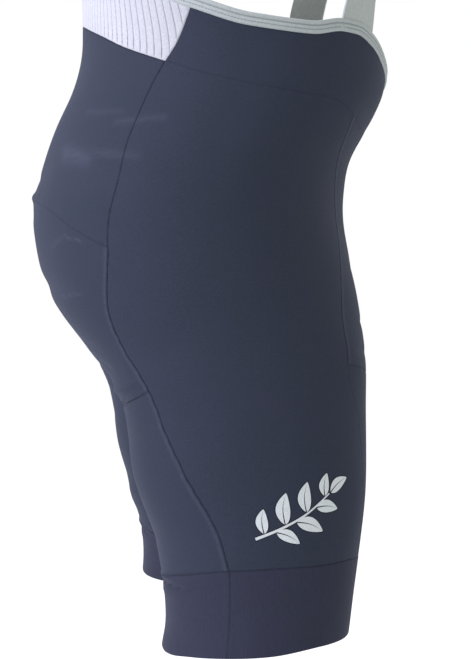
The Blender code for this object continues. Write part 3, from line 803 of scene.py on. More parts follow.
def shell(name, material, points, normals, wall, closed=False, marks=None):
    """A thin closed wall on a grid of outer points, with its own lengthwise and crosswise places."""
    rows, columns = points.shape[:2]
    outer, inner = to_part_frame(points), to_part_frame(points - normals * wall)
    vertices = np.concatenate([outer.reshape(-1, 3), inner.reshape(-1, 3)])
    outside = np.arange(rows * columns).reshape(rows, columns)
    if closed:
        outside = np.concatenate([outside, outside[:, :1]], axis=1)
    inside = outside + rows * columns
    parts = [
        grid_faces(outside),
        grid_faces(inside, flip=True),
        edge_faces(outside[0], inside[0], False),
        edge_faces(outside[-1], inside[-1], True),
    ]
    if not closed:
        parts += [
            edge_faces(outside[:, 0], inside[:, 0], True),
            edge_faces(outside[:, -1], inside[:, -1], False),
        ]
    faces = np.concatenate(parts)
    if not outward(vertices, faces):
        faces = faces[:, ::-1]
    made = mesh_object(name, vertices, faces.tolist(), material)
    across = np.broadcast_to(lengths_along(points[rows // 2]), (rows, columns))
    down = np.broadcast_to(lengths_along(points[:, columns // 2])[:, None], (rows, columns))
    flat = np.stack([across, -down], axis=-1).reshape(-1, 2) * MM
    put_places(made.data, np.concatenate([flat, flat]))
    for mark, values in (marks or {}).items():
        attribute = made.data.attributes.new(mark, "FLOAT", "POINT")
        both = np.concatenate([values.ravel(), values.ravel()])
        attribute.data.foreach_set("value", both.astype(np.float32))
    return made


def put_places(mesh, flat):
    """Stores where each corner lies on the flat cloth, in metres."""
    layer = mesh.uv_layers.new(name="Cloth")
    corners = np.empty(len(mesh.loops), np.int32)
    mesh.loops.foreach_get("vertex_index", corners)
    layer.data.foreach_set("uv", flat[corners].astype(np.float32).ravel())


class Nodes:
    """Short ways to add and join the nodes of one material."""

    def __init__(self, name):
        self.material = bpy.data.materials.new(name)
        self.material.use_nodes = True
        self.tree = self.material.node_tree
        self.shader = self.tree.nodes["Principled BSDF"]

    def add(self, kind, settings=None, **inputs):
        node = self.tree.nodes.new(kind)
        for key, value in (settings or {}).items():
            setattr(node, key, value)
        for key, value in inputs.items():
            self.feed(node, key.replace("_", " "), value)
        return node

    def feed(self, node, key, value):
        socket = node.inputs[int(key[1:])] if key[0] == "n" and key[1:].isdigit() else node.inputs[key]
        if isinstance(value, bpy.types.NodeSocket):
            self.tree.links.new(value, socket)
        else:
            socket.default_value = value

    def maths(self, operation, first, second=0.0):
        node = self.add("ShaderNodeMath", {"operation": operation}, n0=first, n1=second)
        return node.outputs[0]

    def noise(self, place, scale, detail):
        return self.add("ShaderNodeTexNoise", Vector=place, Scale=scale, Detail=detail).outputs["Fac"]

    def mix(self, share, first, second):
        node = self.add("ShaderNodeMix", {"data_type": "RGBA"}, n0=share, n6=first, n7=second)
        return node.outputs[2]

    def spread(self, value, low, high, out_low=0.0, out_high=1.0):
        node = self.add(
            "ShaderNodeMapRange", Value=value, From_Min=low, From_Max=high, To_Min=out_low,
            To_Max=out_high,
        )
        return node.outputs[0]

    def flecks(self, place, scale, detail, low=0.3, high=0.7):
        """Noise whose middle range is spread over 0 to 1."""
        return self.spread(self.noise(place, scale, detail), low, high)

    def flat_place(self):
        return self.add("ShaderNodeUVMap", {"uv_map": "Cloth"}).outputs["UV"]

    def solid_place(self):
        return self.add("ShaderNodeTexCoord").outputs["Object"]

    def attribute(self, name):
        return self.add("ShaderNodeAttribute", {"attribute_name": name}).outputs["Fac"]

    def stretched(self, place, across, along, through=1.0):
        node = self.add("ShaderNodeMapping", Vector=place, Scale=(across, along, through))
        return node.outputs[0]

    def bump(self, height, strength, depth):
        node = self.add("ShaderNodeBump", Height=height, Strength=strength, Distance=depth)
        self.feed(self.shader, "Normal", node.outputs[0])

    def finish(self, colour, roughness, specular=0.3, sheen=0.0, sheen_roughness=0.4, tint=(1, 1, 1, 1)):
        for key, value in (
            ("Base Color", colour),
            ("Roughness", roughness),
            ("Specular IOR Level", specular),
            ("Sheen Weight", sheen),
            ("Sheen Roughness", sheen_roughness),
            ("Sheen Tint", tint),
        ):
            self.feed(self.shader, key, value)
        return self.material


def knit_height(nodes, wales, courses):
    """Height of a fine knit: columns of loops, each broken by its rows, both counted per metre."""
    split = nodes.add("ShaderNodeSeparateXYZ", n0=nodes.flat_place())
    column = nodes.maths("SINE", nodes.maths("MULTIPLY", split.outputs[0], 2 * math.pi * wales))
    row = nodes.maths("SINE", nodes.maths("MULTIPLY", split.outputs[1], 2 * math.pi * courses))
    loops = nodes.maths("ADD", column, nodes.maths("MULTIPLY", row, KNIT_ROW_SHARE))
    fuzz = nodes.noise(nodes.solid_place(), scale=1400, detail=2)
    return nodes.maths("ADD", loops, nodes.maths("MULTIPLY", fuzz, KNIT_FUZZ))


def shaded(nodes, colour):
    """The colour, darkened in the grooves of the seams."""
    return nodes.mix(nodes.attribute("shade"), colour, srgb(*SEAM_SHADE))


def navy_knit():
    nodes = Nodes("navy_knit")
    place = nodes.solid_place()
    tone = nodes.mix(nodes.flecks(place, scale=26, detail=3), srgb(34, 40, 50), srgb(37, 40, 54))
    fine = nodes.flecks(place, scale=900, detail=2, low=0.25, high=0.75)
    lit = nodes.mix(fine, tone, srgb(41, 47, 59))
    # Painted highlights and paler smears: the marked cloth is mixed toward a pale blue-grey, broken up by
    # a stretched grain.
    grain = nodes.noise(nodes.stretched(place, 70, 70, 520), scale=1, detail=3)
    patch_breakup = nodes.spread(grain, 0.3, 0.7, 0.4, 1.0)
    pale_smears_and_highlights = nodes.maths("MULTIPLY", nodes.attribute("pale_smears_and_highlights"), patch_breakup)
    paler = nodes.mix(nodes.maths("MULTIPLY", pale_smears_and_highlights, PALE_STRENGTH), lit, srgb(84, 89, 104))
    nodes.bump(knit_height(nodes, wales=1500, courses=1100), strength=0.25, depth=0.0001)
    return nodes.finish(shaded(nodes, paler), **NAVY_FINISH)


def band_knit():
    nodes = Nodes("band_knit")
    place = nodes.solid_place()
    tone = nodes.mix(nodes.flecks(place, scale=22, detail=3), srgb(35, 39, 50), srgb(38, 40, 55))
    streaks = nodes.flecks(nodes.stretched(place, 800, 800, 260), scale=1, detail=2)
    streaked = nodes.mix(streaks, tone, srgb(40, 43, 56))
    nodes.bump(knit_height(nodes, wales=900, courses=1300), strength=0.3, depth=0.0001)
    return nodes.finish(shaded(nodes, streaked), **NAVY_FINISH)


def rib_knit():
    nodes = Nodes("rib_knit")
    split = nodes.add("ShaderNodeSeparateXYZ", n0=nodes.flat_place())
    wander = nodes.maths("MULTIPLY", nodes.noise(nodes.solid_place(), scale=160, detail=1), DASH_WANDER)
    turns = nodes.maths("MULTIPLY", split.outputs[1], 2 * math.pi * DASHES_PER_METRE)
    dash = nodes.spread(nodes.maths("SINE", nodes.maths("ADD", turns, wander)), -0.4, 0.6, 0.5, 1.0)
    groove = nodes.maths("MULTIPLY", nodes.attribute("groove"), dash)
    fine = nodes.flecks(nodes.solid_place(), scale=700, detail=2)
    white = nodes.mix(fine, srgb(153, 156, 160), srgb(165, 168, 172))
    colour = nodes.mix(groove, white, srgb(76, 78, 92))
    nodes.bump(knit_height(nodes, wales=1000, courses=1000), strength=0.3, depth=0.00015)
    return nodes.finish(colour, 0.85, specular=0.2, sheen=0.15, sheen_roughness=0.5)


def edge_tape():
    nodes = Nodes("edge_tape")
    fine = nodes.flecks(nodes.solid_place(), scale=500, detail=3)
    tone = nodes.mix(fine, srgb(139, 147, 145), srgb(151, 158, 156))
    # Painted shade: the tape's colour is darkened in its grooves.
    colour = nodes.mix(nodes.attribute("groove"), tone, srgb(92, 98, 99))
    nodes.bump(knit_height(nodes, wales=1100, courses=900), strength=0.3, depth=0.00015)
    return nodes.finish(colour, 0.8, specular=0.2, sheen=0.15, sheen_roughness=0.5)


def strap_elastic():
    nodes = Nodes("strap_elastic")
    fine = nodes.flecks(nodes.stretched(nodes.flat_place(), 900, 300), scale=1, detail=2)
    colour = nodes.mix(fine, srgb(142, 149, 145), srgb(153, 159, 155))
    nodes.bump(knit_height(nodes, wales=700, courses=900), strength=0.35, depth=0.0002)
    return nodes.finish(colour, 0.78, specular=0.25, sheen=0.12, sheen_roughness=0.5)


def print_ink():
    nodes = Nodes("print_ink")
    fine = nodes.flecks(nodes.solid_place(), scale=900, detail=2)
    colour = nodes.mix(fine, srgb(166, 173, 173), srgb(180, 187, 187))
    nodes.bump(fine, strength=0.15, depth=0.00005)
    return nodes.finish(colour, 0.55, specular=0.4, sheen_roughness=0.5)


def outline_ink():
    nodes = Nodes("outline_ink")
    fine = nodes.flecks(nodes.solid_place(), scale=900, detail=2)
    return nodes.finish(nodes.mix(fine, srgb(17, 18, 26), srgb(24, 26, 35)), 0.6, specular=0.2)


def stitch_thread():
    nodes = Nodes("stitch_thread")
    fine = nodes.noise(nodes.solid_place(), scale=2000, detail=1)
    return nodes.finish(nodes.mix(fine, srgb(88, 93, 96), srgb(106, 111, 114)), 0.7)


PIECES = {}


def ready(piece, node, with_pieces=()):
    """Puts a finished piece on the frame in place of its solid."""
    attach(piece, "root")
    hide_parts(node)
    PIECES[node] = (piece, list(with_pieces))


# Strength of the pale patches: painted highlights along crease ridges, and paler smears.
def smears_and_ridge_highlights(points):
    strength = np.zeros(points.shape[:-1])
    for row in PALE_PATCHES:
        spot = dict(zip(PALE_COLUMNS, row))
        line = run_on_cloth(spot)
        for side, share in ((line, 1), (mirrored(line), LEFT_PALE_SHARE)):
            gap, _ = distance(points, side, spot["width"] * CREASE_SPREAD)
            mark = share * spot["strength"] * np.exp(-(gap / spot["width"]) ** 2)
            strength = np.maximum(strength, mark)
    return strength


def allowance_highlight(points, allowances):
    """A painted highlight: a paler strip beside each allowance's seam, on the allowance's raised edge."""
    strip = np.zeros(points.shape[:-1])
    for name in allowances:
        for line in SEAMS[name]:
            gap, _ = distance(points, line, ALLOWANCE_WIDTH + ALLOWANCE_SLOPE)
            strip = np.maximum(strip, np.exp(-((gap - STRIP_PLACE) / STRIP_SPREAD) ** 2))
    return STRIP_STRENGTH * strip


def add_cloth(node, material, points, normals, seams, allowances):
    points = inset(points, ("top", "bottom", "left", "right"))
    lift, shade = seamed(points, seams, allowances)
    lift += folded(points)
    raised = points + normals * lift[..., None] + swayed(points, normals)
    # Painted highlights and paler smears, and painted shade in the seams, are carried as marks on the
    # cloth.
    pale_smears_and_highlights = np.maximum(smears_and_ridge_highlights(points), allowance_highlight(points, allowances))
    marks = {"pale_smears_and_highlights": pale_smears_and_highlights, "shade": shade}
    ready(shell("cloth_" + node, material, raised, normals, CLOTH_WALL, marks=marks), node)


def side_panel_cells():
    return patch(
        between(WAIST_SEAM, "turn", BACK_CORNER, FRONT_TOP),
        between(BAND_SEAM, "turn", SIDE_FOOT, FRONT_FOOT),
        trace(SIDE_BACK_SEAM),
        trace(FRONT_SEAM),
    )


def inner_leg_cells():
    return patch(
        trace(INNER_LEG_SEAM),
        between(BAND_SEAM, "turn", SIDE_FOOT, FRONT_FOOT_AGAIN),
        between(SIDE_BACK_SEAM, "height", INNER_CORNER, SIDE_FOOT),
        between(FRONT_SEAM, "height", FRONT_INNER, FRONT_FOOT) + np.array([FULL_TURN, 0]),
    )


def back_panel_cells():
    return patch(
        trace(BACK_EDGE),
        trace(SEAT_SEAM),
        between(SIDE_BACK_SEAM, "height", BACK_CORNER, SEAT_CORNER),
        centre_line(BACK_CENTRE, SEAT_CENTRE, True),
        open_right=True,
    )


def seat_panel_cells():
    return patch(
        trace(SEAT_SEAM),
        between(INNER_LEG_SEAM, "turn", INNER_CORNER, CROTCH),
        between(SIDE_BACK_SEAM, "height", SEAT_CORNER, INNER_CORNER),
        centre_line(SEAT_CENTRE, CROTCH, True),
        open_right=True,
    )


def front_panel_cells():
    return patch(
        between(WAIST_SEAM, "turn", FRONT_TOP, WAIST_CENTRE),
        between(INNER_LEG_SEAM, "turn", FRONT_INNER_AGAIN, CROTCH) - np.array([FULL_TURN, 0]),
        between(FRONT_SEAM, "height", FRONT_TOP, FRONT_INNER),
        centre_line(WAIST_CENTRE, CROTCH, False),
        open_right=True,
    )


def belly_panel_cells():
    return patch(
        between(FRONT_EDGE, "turn", BELLY_CORNER, BELLY_CENTRE),
        trace(WAIST_SEAM),
        trace(BIB_END_SEAM)[::-1],
        centre_line(BELLY_CENTRE, WAIST_CENTRE, False),
        open_right=True,
    )


def make_panels(navy):
    for node, cells, seams, allowances in (
        ("side_panel", side_panel_cells(), ("side_back", "front", "waist", "band"), ()),
        ("inner_leg", inner_leg_cells(), ("side_back", "front", "inner_leg", "band"), ("side_back",)),
    ):
        points, normals = on_cloth(cells)
        add_cloth(node + "_right", navy, points, normals, seams, allowances)
        add_cloth(node + "_left", navy, mirrored(points), mirrored(normals), seams, allowances)
    for node, cells, seams, allowances in (
        ("back_panel", back_panel_cells(), ("side_back", "seat", "back_edge"), ()),
        ("seat_panel", seat_panel_cells(), ("side_back", "seat", "inner_leg"), ("side_back",)),
        ("front_panel", front_panel_cells(), ("front", "waist", "inner_leg"), ("front",)),
        ("belly_panel", belly_panel_cells(), ("waist", "bib_end", "front_edge"), ()),
    ):
        add_cloth(node, navy, *with_mirror(*on_cloth(cells)), seams, allowances)


def band_columns():
    """Turns round the leg, closer together near the band's upright seam."""
    start, end = FRONT_FOOT[0], FRONT_FOOT_AGAIN[0]
    plain = np.linspace(start, end, BAND_COLUMNS)[:-1]
    seam_turn = SIDE_FOOT[0]
    near = np.array(EDGE_STEPS[:-1])
    fine = np.concatenate([seam_turn - near[:0:-1], seam_turn + near])
    clear = plain[np.abs(plain - seam_turn) > EDGE_STEPS[-2] + 1]
    return np.sort(np.concatenate([clear, fine]))


def make_leg_band(node, material, lift_up, flip):
    turns = band_columns()
    seam, hem = trace(BAND_SEAM), trace(HEM)
    top = np.interp(turns, seam[:, 0], seam[:, 1])
    bottom = np.interp(turns, hem[:, 0], hem[:, 1]) + lift_up
    down = spaced(BAND_TALL, CLOTH_STEP)[:, None]
    heights = (1 - down) * top + down * bottom
    points, normals = on_cloth(np.stack(np.broadcast_arrays(turns, heights), axis=-1))
    if flip:
        points, normals = mirrored(points), mirrored(normals)
    points = inset(points, ("top",))
    lift, shade = seamed(points, ("band", "band_side"), ("band_side",))
    lift += folded(points) + BAND_PROUD
    lift -= edge_roll(np.linalg.norm(points - points[-1:], axis=-1), BAND_ROLL_REACH)
    raised = points + normals * lift[..., None]
    marks = {"shade": shade}
    piece = shell("cloth_" + node, material, raised, normals, BAND_WALL, closed=True, marks=marks)
    ready(piece, node)


def rib_lean(height):
    """The ribs' spread at a height, as a share of their spread at the bib's lowest corner."""
    share = np.maximum(height - BACK_CORNER[1], 0) / (BIB_TOP_HEIGHT - BACK_CORNER[1])
    return 1 - RIB_LEAN * share ** 2 / (share + RIB_LEAN_START)


def rib_place(turn, height):
    """Degrees from the centre back at the foot of the rib that passes through a place."""
    return (CENTRE_BACK_TURN - turn) / rib_lean(height)


def rib_turn(place, height):
    return CENTRE_BACK_TURN - place * rib_lean(height)


def rib_places(last):
    """Places across the ribs from the centre back to the side, and the share of a rib at each."""
    places = np.linspace(0, last, TRACE_STEPS)
    line = surface(rib_turn(places, BACK_CENTRE[1]), BACK_CENTRE[1])
    lengths = lengths_along(line)
    ribs = np.arange(int(lengths[-1] / RIB_PITCH) + 1)
    steps = (ribs[:, None] + np.array(RIB_STEPS)).ravel()
    steps = steps[steps * RIB_PITCH < lengths[-1]]
    return np.interp(steps * RIB_PITCH, lengths, places), np.mod(steps, 1)


def height_on(line, places):
    """Height at which each rib crosses an edge of the bib."""
    keys = rib_place(line[:, 0], line[:, 1])
    order = np.argsort(keys)
    return np.interp(places, keys[order], line[order, 1])


def make_bib(material):
    lower = joined(trace(BIB_END_SEAM)[::-1], trace(BACK_EDGE))
    flat = np.linspace(ARMHOLE_TOP[0], CENTRE_BACK_TURN, TRACE_STEPS)
    top_line = np.stack([flat, np.full_like(flat, BIB_TOP_HEIGHT)], axis=1)
    upper = joined(between(FRONT_EDGE, "turn", BELLY_CORNER, ARMHOLE_TOP), top_line)
    places, shares = rib_places(rib_place(*lower[0]))
    low, high = height_on(lower, places), height_on(upper, places)
    tall = high - low > LEAST_BIB_SIDE
    places, shares, low, high = (k[tall][::-1] for k in (places, shares, low, high))
    down = spaced(BIB_TALL, BIB_STEP)[:, None]
    heights = (1 - down) * high + down * low
    cells = np.stack([rib_turn(places, heights), heights], axis=-1)
    points, normals = with_mirror(*on_cloth(cells))
    shares = np.concatenate([shares, shares[-2::-1]])
    off_centre = np.minimum(shares, 1 - shares)
    groove = np.exp(-(off_centre / RIB_GROOVE_SHARE) ** 2)
    crown = RIB_CROWN * (1 - (2 * off_centre - 1) ** 2)
    reach = 2 * RIB_STROKE
    gaps = {
        name: np.minimum(*(distance(points, line, reach)[0] for line in SEAMS[name]))
        for name in ("back_edge", "bib_end", "front_edge")
    }
    edge = np.minimum(np.minimum(gaps["back_edge"], gaps["bib_end"]), gaps["front_edge"])
    near_waist = ease(1 - (gaps["back_edge"] - RIB_STROKE + 1) / RIB_STROKE_FADE)
    stroke = RIB_FAINT + (1 - RIB_FAINT) * near_waist
    lift = (crown - RIB_GROOVE * groove) * ease((edge - RIB_CLEAR) / RIB_FADE)
    lift = lift + folded(points) + seamed(points, ("back_edge", "bib_end"))[0]
    from_top = BIB_TOP_HEIGHT - points[..., 2]
    lift += BIB_HEM_LIFT * ease(1 - (from_top - BIB_HEM) / BIB_HEM_SLOPE)
    raised = points + normals * lift[..., None]
    marks = {"groove": groove * stroke * ease(edge / RIB_FADE)}
    piece = shell("cloth_back_bib", material, raised, normals, CLOTH_WALL, marks=marks)
    ready(piece, "back_bib")


def tape_frame(edge):
    """Points and their outward and upward ways along an edge that a tape stands on."""
    cells = at_shares(edge, np.linspace(0, 1, int(cloth_length(edge) / TAPE_STEP) + 1))
    points, normals = on_cloth(cells)
    along = unit(np.gradient(points, axis=0))
    upward = unit(np.cross(normals, along))
    upward[upward[:, 2] < 0] *= -1
    return points, normals, upward


def tape_grid(points, normals, upward):
    shares = np.array([row[0] for row in TAPE_PROFILE])[::-1]
    lifts = np.array([row[1] for row in TAPE_PROFILE])[::-1]
    spread = points[None] + upward[None] * (shares[:, None, None] * TAPE_WIDTH)
    raised = spread + normals[None] * (TAPE_PROUD + lifts[:, None, None])
    inner = np.broadcast_to(normals[None], raised.shape)
    # Painted shade in the tape's grooves: the lower the profile, the darker the colour.
    inside = (shares > TAPE_GROOVES[0]) & (shares < TAPE_GROOVES[1])
    groove = np.clip((TAPE_SHADE_LIFT - lifts) / TAPE_SHADE_LIFT, 0, 1) * inside
    return raised, inner, np.broadcast_to(groove[:, None], raised.shape[:2])


def stitch_rings(points, normals):
    """Rings of points of each stitch on a line, a spindle lying along it."""
    places = lengths_along(points)
    at = np.arange(STITCH_PITCH, places[-1] - STITCH_PITCH, STITCH_PITCH)
    centre = straight_line(points, places, at)
    out = unit(straight_line(normals, places, at))
    run = unit(straight_line(unit(np.gradient(points, axis=0)), places, at))
    side = unit(np.cross(out, run))
    angles = np.linspace(0, 2 * np.pi, STITCH_SIDES, endpoint=False)
    rings = []
    for share, size in STITCH_SHAPE:
        middle = centre + run * share * STITCH_LENGTH
        radius = STITCH_RADIUS * size
        ring = [middle + radius * (out * math.cos(a) + side * math.sin(a)) for a in angles]
        rings.append(np.stack(ring, axis=1))
    return np.stack(rings, axis=1)


def stitches(name, material, rows):
    """Rows of short stitches, each row a line of points with its outward ways."""
    solid = np.concatenate([stitch_rings(points, normals) for points, normals in rows])
    count, layers, sides = solid.shape[:3]
    base = np.arange(layers * sides).reshape(layers, sides)
    round_way = grid_faces(np.concatenate([base, base[:, :1]], axis=1)).tolist()
    one = round_way + [base[0].tolist(), base[-1, ::-1].tolist()]
    faces = [[corner + k * base.size for corner in face] for k in range(count) for face in one]
    made = mesh_object(name, to_part_frame(solid.reshape(-1, 3)), faces, material, sharp=False)
    face_outward(made.data)
    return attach(made, "root")


def face_outward(mesh):
    shaped = bmesh.new()
    shaped.from_mesh(mesh)
    bmesh.ops.recalc_face_normals(shaped, faces=shaped.faces)
    shaped.to_mesh(mesh)
    shaped.free()


def add_tape(name, material, thread, points, normals, upward):
    grid, ways, groove = tape_grid(points, normals, upward)
    piece = shell("cloth_" + name, material, grid, ways, TAPE_WALL, marks={"groove": groove})
    line = points + upward * STITCH_SHARE * TAPE_WIDTH + normals * (TAPE_PROUD + TAPE_STITCH_LIFT)
    ready(piece, name, [stitches("stitches_" + name, thread, [(line, normals)])])


def make_tapes(material, thread):
    side = tape_frame(joined(
        between(FRONT_EDGE, "turn", ARMHOLE_TOP, BELLY_CORNER),
        between(FRONT_EDGE, "turn", BELLY_CORNER, STRAP_REAR),
    ))
    add_tape("side_tape_right", material, thread, *side)
    add_tape("side_tape_left", material, thread, *(mirrored(k) for k in side))
    front = tape_frame(between(FRONT_EDGE, "turn", STRAP_REAR, BELLY_CENTRE))
    front[0][-1, 0] = 0
    whole = (np.vstack([k, mirrored(k)[-2::-1]]) for k in front)
    add_tape("front_tape", material, thread, *whole)


def strap_base():
    """The two ends of the line on the tape's upper edge where the strap starts."""
    edge = between(FRONT_EDGE, "turn", STRAP_REAR, STRAP_FRONT)
    points, normals, upward = tape_frame(edge)
    return points + normals * TAPE_PROUD + upward * TAPE_WIDTH, normals, upward


def bib_depth(sides, height):
    """Depth of the bib's outer face at some distances from the middle plane."""
    turns = np.linspace(SIDE_TURN, CENTRE_BACK_TURN, TRACE_STEPS)
    line = surface(turns, height)
    return np.interp(sides, -line[::-1, 0], line[::-1, 1])


def strap_foot(shares):
    sides = STRAP_FOOT_SIDE[0] + shares * (STRAP_FOOT_SIDE[1] - STRAP_FOOT_SIDE[0])
    depth = bib_depth(sides, BIB_TOP_HEIGHT)
    return np.stack([-sides, depth, np.full_like(sides, BIB_TOP_HEIGHT)], axis=1)


def strap_route(start, end):
    """Lengths along the strap, its middle line, and the way that its outer face looks."""
    route = {n: table_column(STRAP_ROUTE, STRAP_COLUMNS, n) for n in STRAP_COLUMNS}
    middles = np.stack([-route["side"], route["depth"], route["height"]], axis=1)
    faces = np.stack([-route["face_side"], route["face_depth"], route["face_up"]], axis=1)
    middles = np.vstack([start, middles, end])
    faces = np.vstack([faces[:1], faces, [BACKWARD]])
    places = lengths_along(middles)
    at = np.linspace(0, places[-1], int(places[-1] / STRAP_STEP) + 1)
    return at, smooth_line(middles, places, at), unit(smooth_line(faces, places, at))


def strap_points():
    """The strap's outer face, from behind the front tape, over the shoulder, to the bib."""
    shares = np.linspace(0, 1, STRAP_COLUMNS_COUNT + 1)
    base, base_way, base_up = (
        straight_line(k, np.linspace(0, 1, len(k)), shares) for k in strap_base()
    )
    foot = strap_foot(shares)
    at, line, out = strap_route(base.mean(axis=0), foot.mean(axis=0))
    along = unit(np.gradient(line, axis=0))
    across = unit(np.cross(out, along))
    across[np.sum(across * (base[-1] - base[0]), axis=1) < 0] *= -1
    way = unit(np.cross(across, along))
    way[np.sum(way * out, axis=1) < 0] *= -1
    points = line[:, None] + across[:, None] * ((shares - 0.5)[:, None] * STRAP_WIDTH)
    normals = np.repeat(way[:, None], len(shares), axis=1)
    start = ease(1 - at / STRAP_TURN_IN)[:, None, None]
    end = ease(1 - (at[-1] - at) / STRAP_TURN_OUT)[:, None, None]
    points = points + start * (base - points[0])[None] + end * (foot - points[-1])[None]
    normals = unit(normals + start * (base_way - normals[0])[None])
    hidden = np.linspace(STRAP_HEM, 0, HEM_ROWS + 1)[:-1, None, None]
    depth = STRAP_TUCK * ease(hidden / STRAP_TUCK_REACH)
    behind = base[None] - base_up[None] * hidden - base_way[None] * depth
    sewn = np.linspace(0, STRAP_OVERLAP, OVERLAP_ROWS + 1)[1:, None, None]
    over = foot[None] - np.array(UPWARD) * sewn
    over[..., 1] = np.array([bib_depth(-row[:, 0], row[0, 2]) for row in over]) + OVERLAP_PROUD
    points[..., 1] += OVERLAP_PROUD * ease(1 - (at[-1] - at)[:, None] / OVERLAP_PROUD_REACH)
    over_way = np.broadcast_to(unit(np.array(OVERLAP_WAY)), over.shape)
    points = np.concatenate([behind, points, over])
    normals = np.concatenate([np.broadcast_to(base_way, behind.shape), normals, over_way])
    return points, unit(normals)


def box_rows(grid, ways):
    """Rows of stitches round the overlap of a strap and the bib."""
    left, right = BOX_MARGIN, grid.shape[1] - 1 - BOX_MARGIN
    top, bottom = len(grid) - OVERLAP_ROWS, len(grid) - 2
    lifted = grid + ways * STITCH_RADIUS / 2
    sides = [(lifted[top:bottom + 1, k], ways[top:bottom + 1, k]) for k in (left, right)]
    ends = [(lifted[k, left:right + 1], ways[k, left:right + 1]) for k in (top, bottom)]
    return sides + ends


def make_straps(material, thread):
    points, normals = strap_points()
    shares = np.linspace(0, 1, points.shape[1])
    cords = STRAP_CORD_LIFT * np.cos(2 * np.pi * STRAP_CORDS * shares)
    edge = np.minimum(shares, 1 - shares) * STRAP_WIDTH
    profile = cords * ease(edge / STRAP_CORD_MARGIN) - edge_roll(edge, STRAP_ROLL_REACH)
    points = points + normals * profile[None, :, None]
    for label, grid, ways in (
        ("right", points, normals),
        ("left", mirrored(points), mirrored(normals)),
    ):
        piece = shell("cloth_strap_" + label, material, grid, ways, STRAP_WALL)
        box = stitches("stitches_strap_" + label, thread, box_rows(grid, ways))
        ready(piece, "strap_" + label, [box])


def leaf_spine(foot, angle, length, extra):
    """The middle line of a leaf, its sideways way and its half width's share, drawn out by extra."""
    share = np.linspace(0, 1, LEAF_POINTS)
    reach = np.sin(np.pi * share ** LEAF_WIDEST) ** LEAF_FULLNESS
    way = np.array([math.cos(angle), math.sin(angle)])
    side = np.array([-way[1], way[0]])
    bend = LEAF_BEND * length * np.sin(np.pi * share)
    drawn = share * (length + 2 * extra) - extra
    return foot + way * drawn[:, None] + side * bend[:, None], side, share, reach


def leaf_halves(foot, angle, length, width):
    """The two halves of a pointed leaf, parted by its midrib."""
    spine, side, share, reach = leaf_spine(foot, angle, length, 0)
    rib = MIDRIB_WIDTH / 2 * (1 - share)
    halves = []
    for sign in (1, -1):
        outer = spine + sign * side * np.maximum(reach * width / 2, rib)[:, None]
        inner = spine + sign * side * rib[:, None]
        halves.append((inner, outer))
    return halves


def leaf_outline(foot, angle, length, width):
    spine, side, _, reach = leaf_spine(foot, angle, length, OUTLINE_WIDTH)
    half = reach * (width / 2 + OUTLINE_WIDTH)
    return spine - side * half[:, None], spine + side * half[:, None]


def sprig_strips():
    """Pairs of facing lines that bound each stretch of the print: its light areas, then its lines."""
    rows = np.array(STEM, float)
    places = lengths_along(rows)
    stem = smooth_line(rows, places, np.linspace(0, places[-1], STEM_POINTS))
    run = np.gradient(stem, axis=0)
    side = unit(np.stack([-run[:, 1], run[:, 0]], axis=1))
    width = np.linspace(*STEM_WIDTH, len(stem))[:, None] / 2
    light = [(stem - side * width, stem + side * width)]
    wider = width + OUTLINE_WIDTH * STEM_OUTLINE_SHARE
    dark = [(stem - side * wider, stem + side * wider)]
    for row in LEAVES:
        leaf = dict(zip(LEAF_COLUMNS, row))
        k = min(int(leaf["along"] * (len(stem) - 1)), len(stem) - 1)
        way = math.atan2(run[k, 1], run[k, 0]) + leaf["side"] * math.radians(leaf["angle"])
        foot = stem[k] + np.array([math.cos(way), math.sin(way)]) * LEAF_STALK
        light += leaf_halves(foot, way, leaf["length"], leaf["width"])
        dark.append(leaf_outline(foot, way, leaf["length"], leaf["width"]))
    return light, dark


def print_place(flat):
    """Turn and height of a place on the print's own plane."""
    turns = np.linspace(0, FULL_TURN / 2, TRACE_STEPS)
    lengths = lengths_along(surface(turns, PRINT_CENTRE[1]))
    middle = np.interp(PRINT_CENTRE[0], turns, lengths)
    turn = np.interp(middle - flat[..., 0], lengths, turns)
    return np.stack([turn, PRINT_CENTRE[1] + flat[..., 1]], axis=-1)


def make_print_layer(name, strips, lift, material):
    vertices, faces = [], []
    for inner, outer in strips:
        across = np.linspace(0, 1, PRINT_COLUMNS)[None, :, None]
        flat = inner[:, None] * (1 - across) + outer[:, None] * across
        points, normals = on_cloth(print_place(flat))
        points = points + normals * (folded(points) + lift)[..., None]
        numbers = np.arange(points[..., 0].size).reshape(points.shape[:2])
        faces.append(grid_faces(numbers) + sum(len(v) for v in vertices))
        vertices.append(to_part_frame(points).reshape(-1, 3))
    made = mesh_object(name, np.concatenate(vertices), np.concatenate(faces).tolist(), material)
    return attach(made, "root")


def make_print():
    light, dark = sprig_strips()
    return [
        make_print_layer("leaf_print", light, PRINT_LIFT, print_ink()),
        make_print_layer("leaf_outline", dark, OUTLINE_LIFT, outline_ink()),
    ]


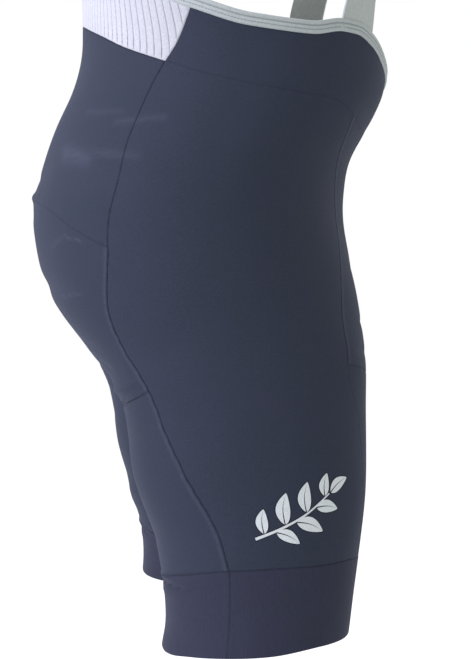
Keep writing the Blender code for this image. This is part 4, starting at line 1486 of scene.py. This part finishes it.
def make_floor():
    half = FLOOR_SIZE / 2
    corners = np.array([(-half, -half), (half, -half), (half, half), (-half, half)])
    vertices = np.column_stack([corners, np.full(len(corners), FLOOR_HEIGHT)])
    white = Nodes("floor_white").finish(FLOOR_WHITE, roughness=1.0, specular=0.0)
    mesh_object("floor", vertices, [[0, 1, 2, 3]], white)


def make_light():
    world = bpy.data.worlds.new("white_studio")
    bpy.context.scene.world = world
    world.use_nodes = True
    background = world.node_tree.nodes["Background"]
    background.inputs["Color"].default_value = WORLD_WHITE
    background.inputs["Strength"].default_value = WORLD_STRENGTH
    light = bpy.data.lights.new("window_light", "AREA")
    light.shape = "SQUARE"
    light.size = LIGHT_SIZE
    light.energy = LIGHT_WATTS
    light.color = LIGHT_COLOUR
    lamp = linked("window_light", light)
    lamp.location = LIGHT_PLACE
    lamp.rotation_euler = (Vector(LIGHT_TARGET) - Vector(LIGHT_PLACE)).to_track_quat("-Z", "Y").to_euler()


def make_camera():
    azimuth, elevation = math.radians(CAMERA_AZIMUTH), math.radians(CAMERA_ELEVATION)
    back = Vector((
        math.sin(azimuth) * math.cos(elevation),
        -math.cos(azimuth) * math.cos(elevation),
        math.sin(elevation),
    ))
    data = bpy.data.cameras.new("photo_camera")
    data.sensor_width = SENSOR
    data.lens = FOCAL_PIXELS * SENSOR / PHOTO_TALL
    camera = linked("photo_camera", data)
    camera.location = Vector(CAMERA_TARGET) + back * CAMERA_DISTANCE
    camera.rotation_euler = (-back).to_track_quat("-Z", "Y").to_euler()
    bpy.context.scene.camera = camera


def main():
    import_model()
    band = band_knit()
    make_panels(navy_knit())
    make_leg_band("leg_band_right", band, 0, False)
    make_leg_band("leg_band_left", band, LEFT_BAND_LIFT, True)
    make_bib(rib_knit())
    thread = stitch_thread()
    make_tapes(edge_tape(), thread)
    make_straps(strap_elastic(), thread)
    PIECES["side_panel_right"][1].extend(make_print())
    make_floor()
    make_light()
    make_camera()
    bpy.context.scene.view_settings.view_transform = "Standard"


main()
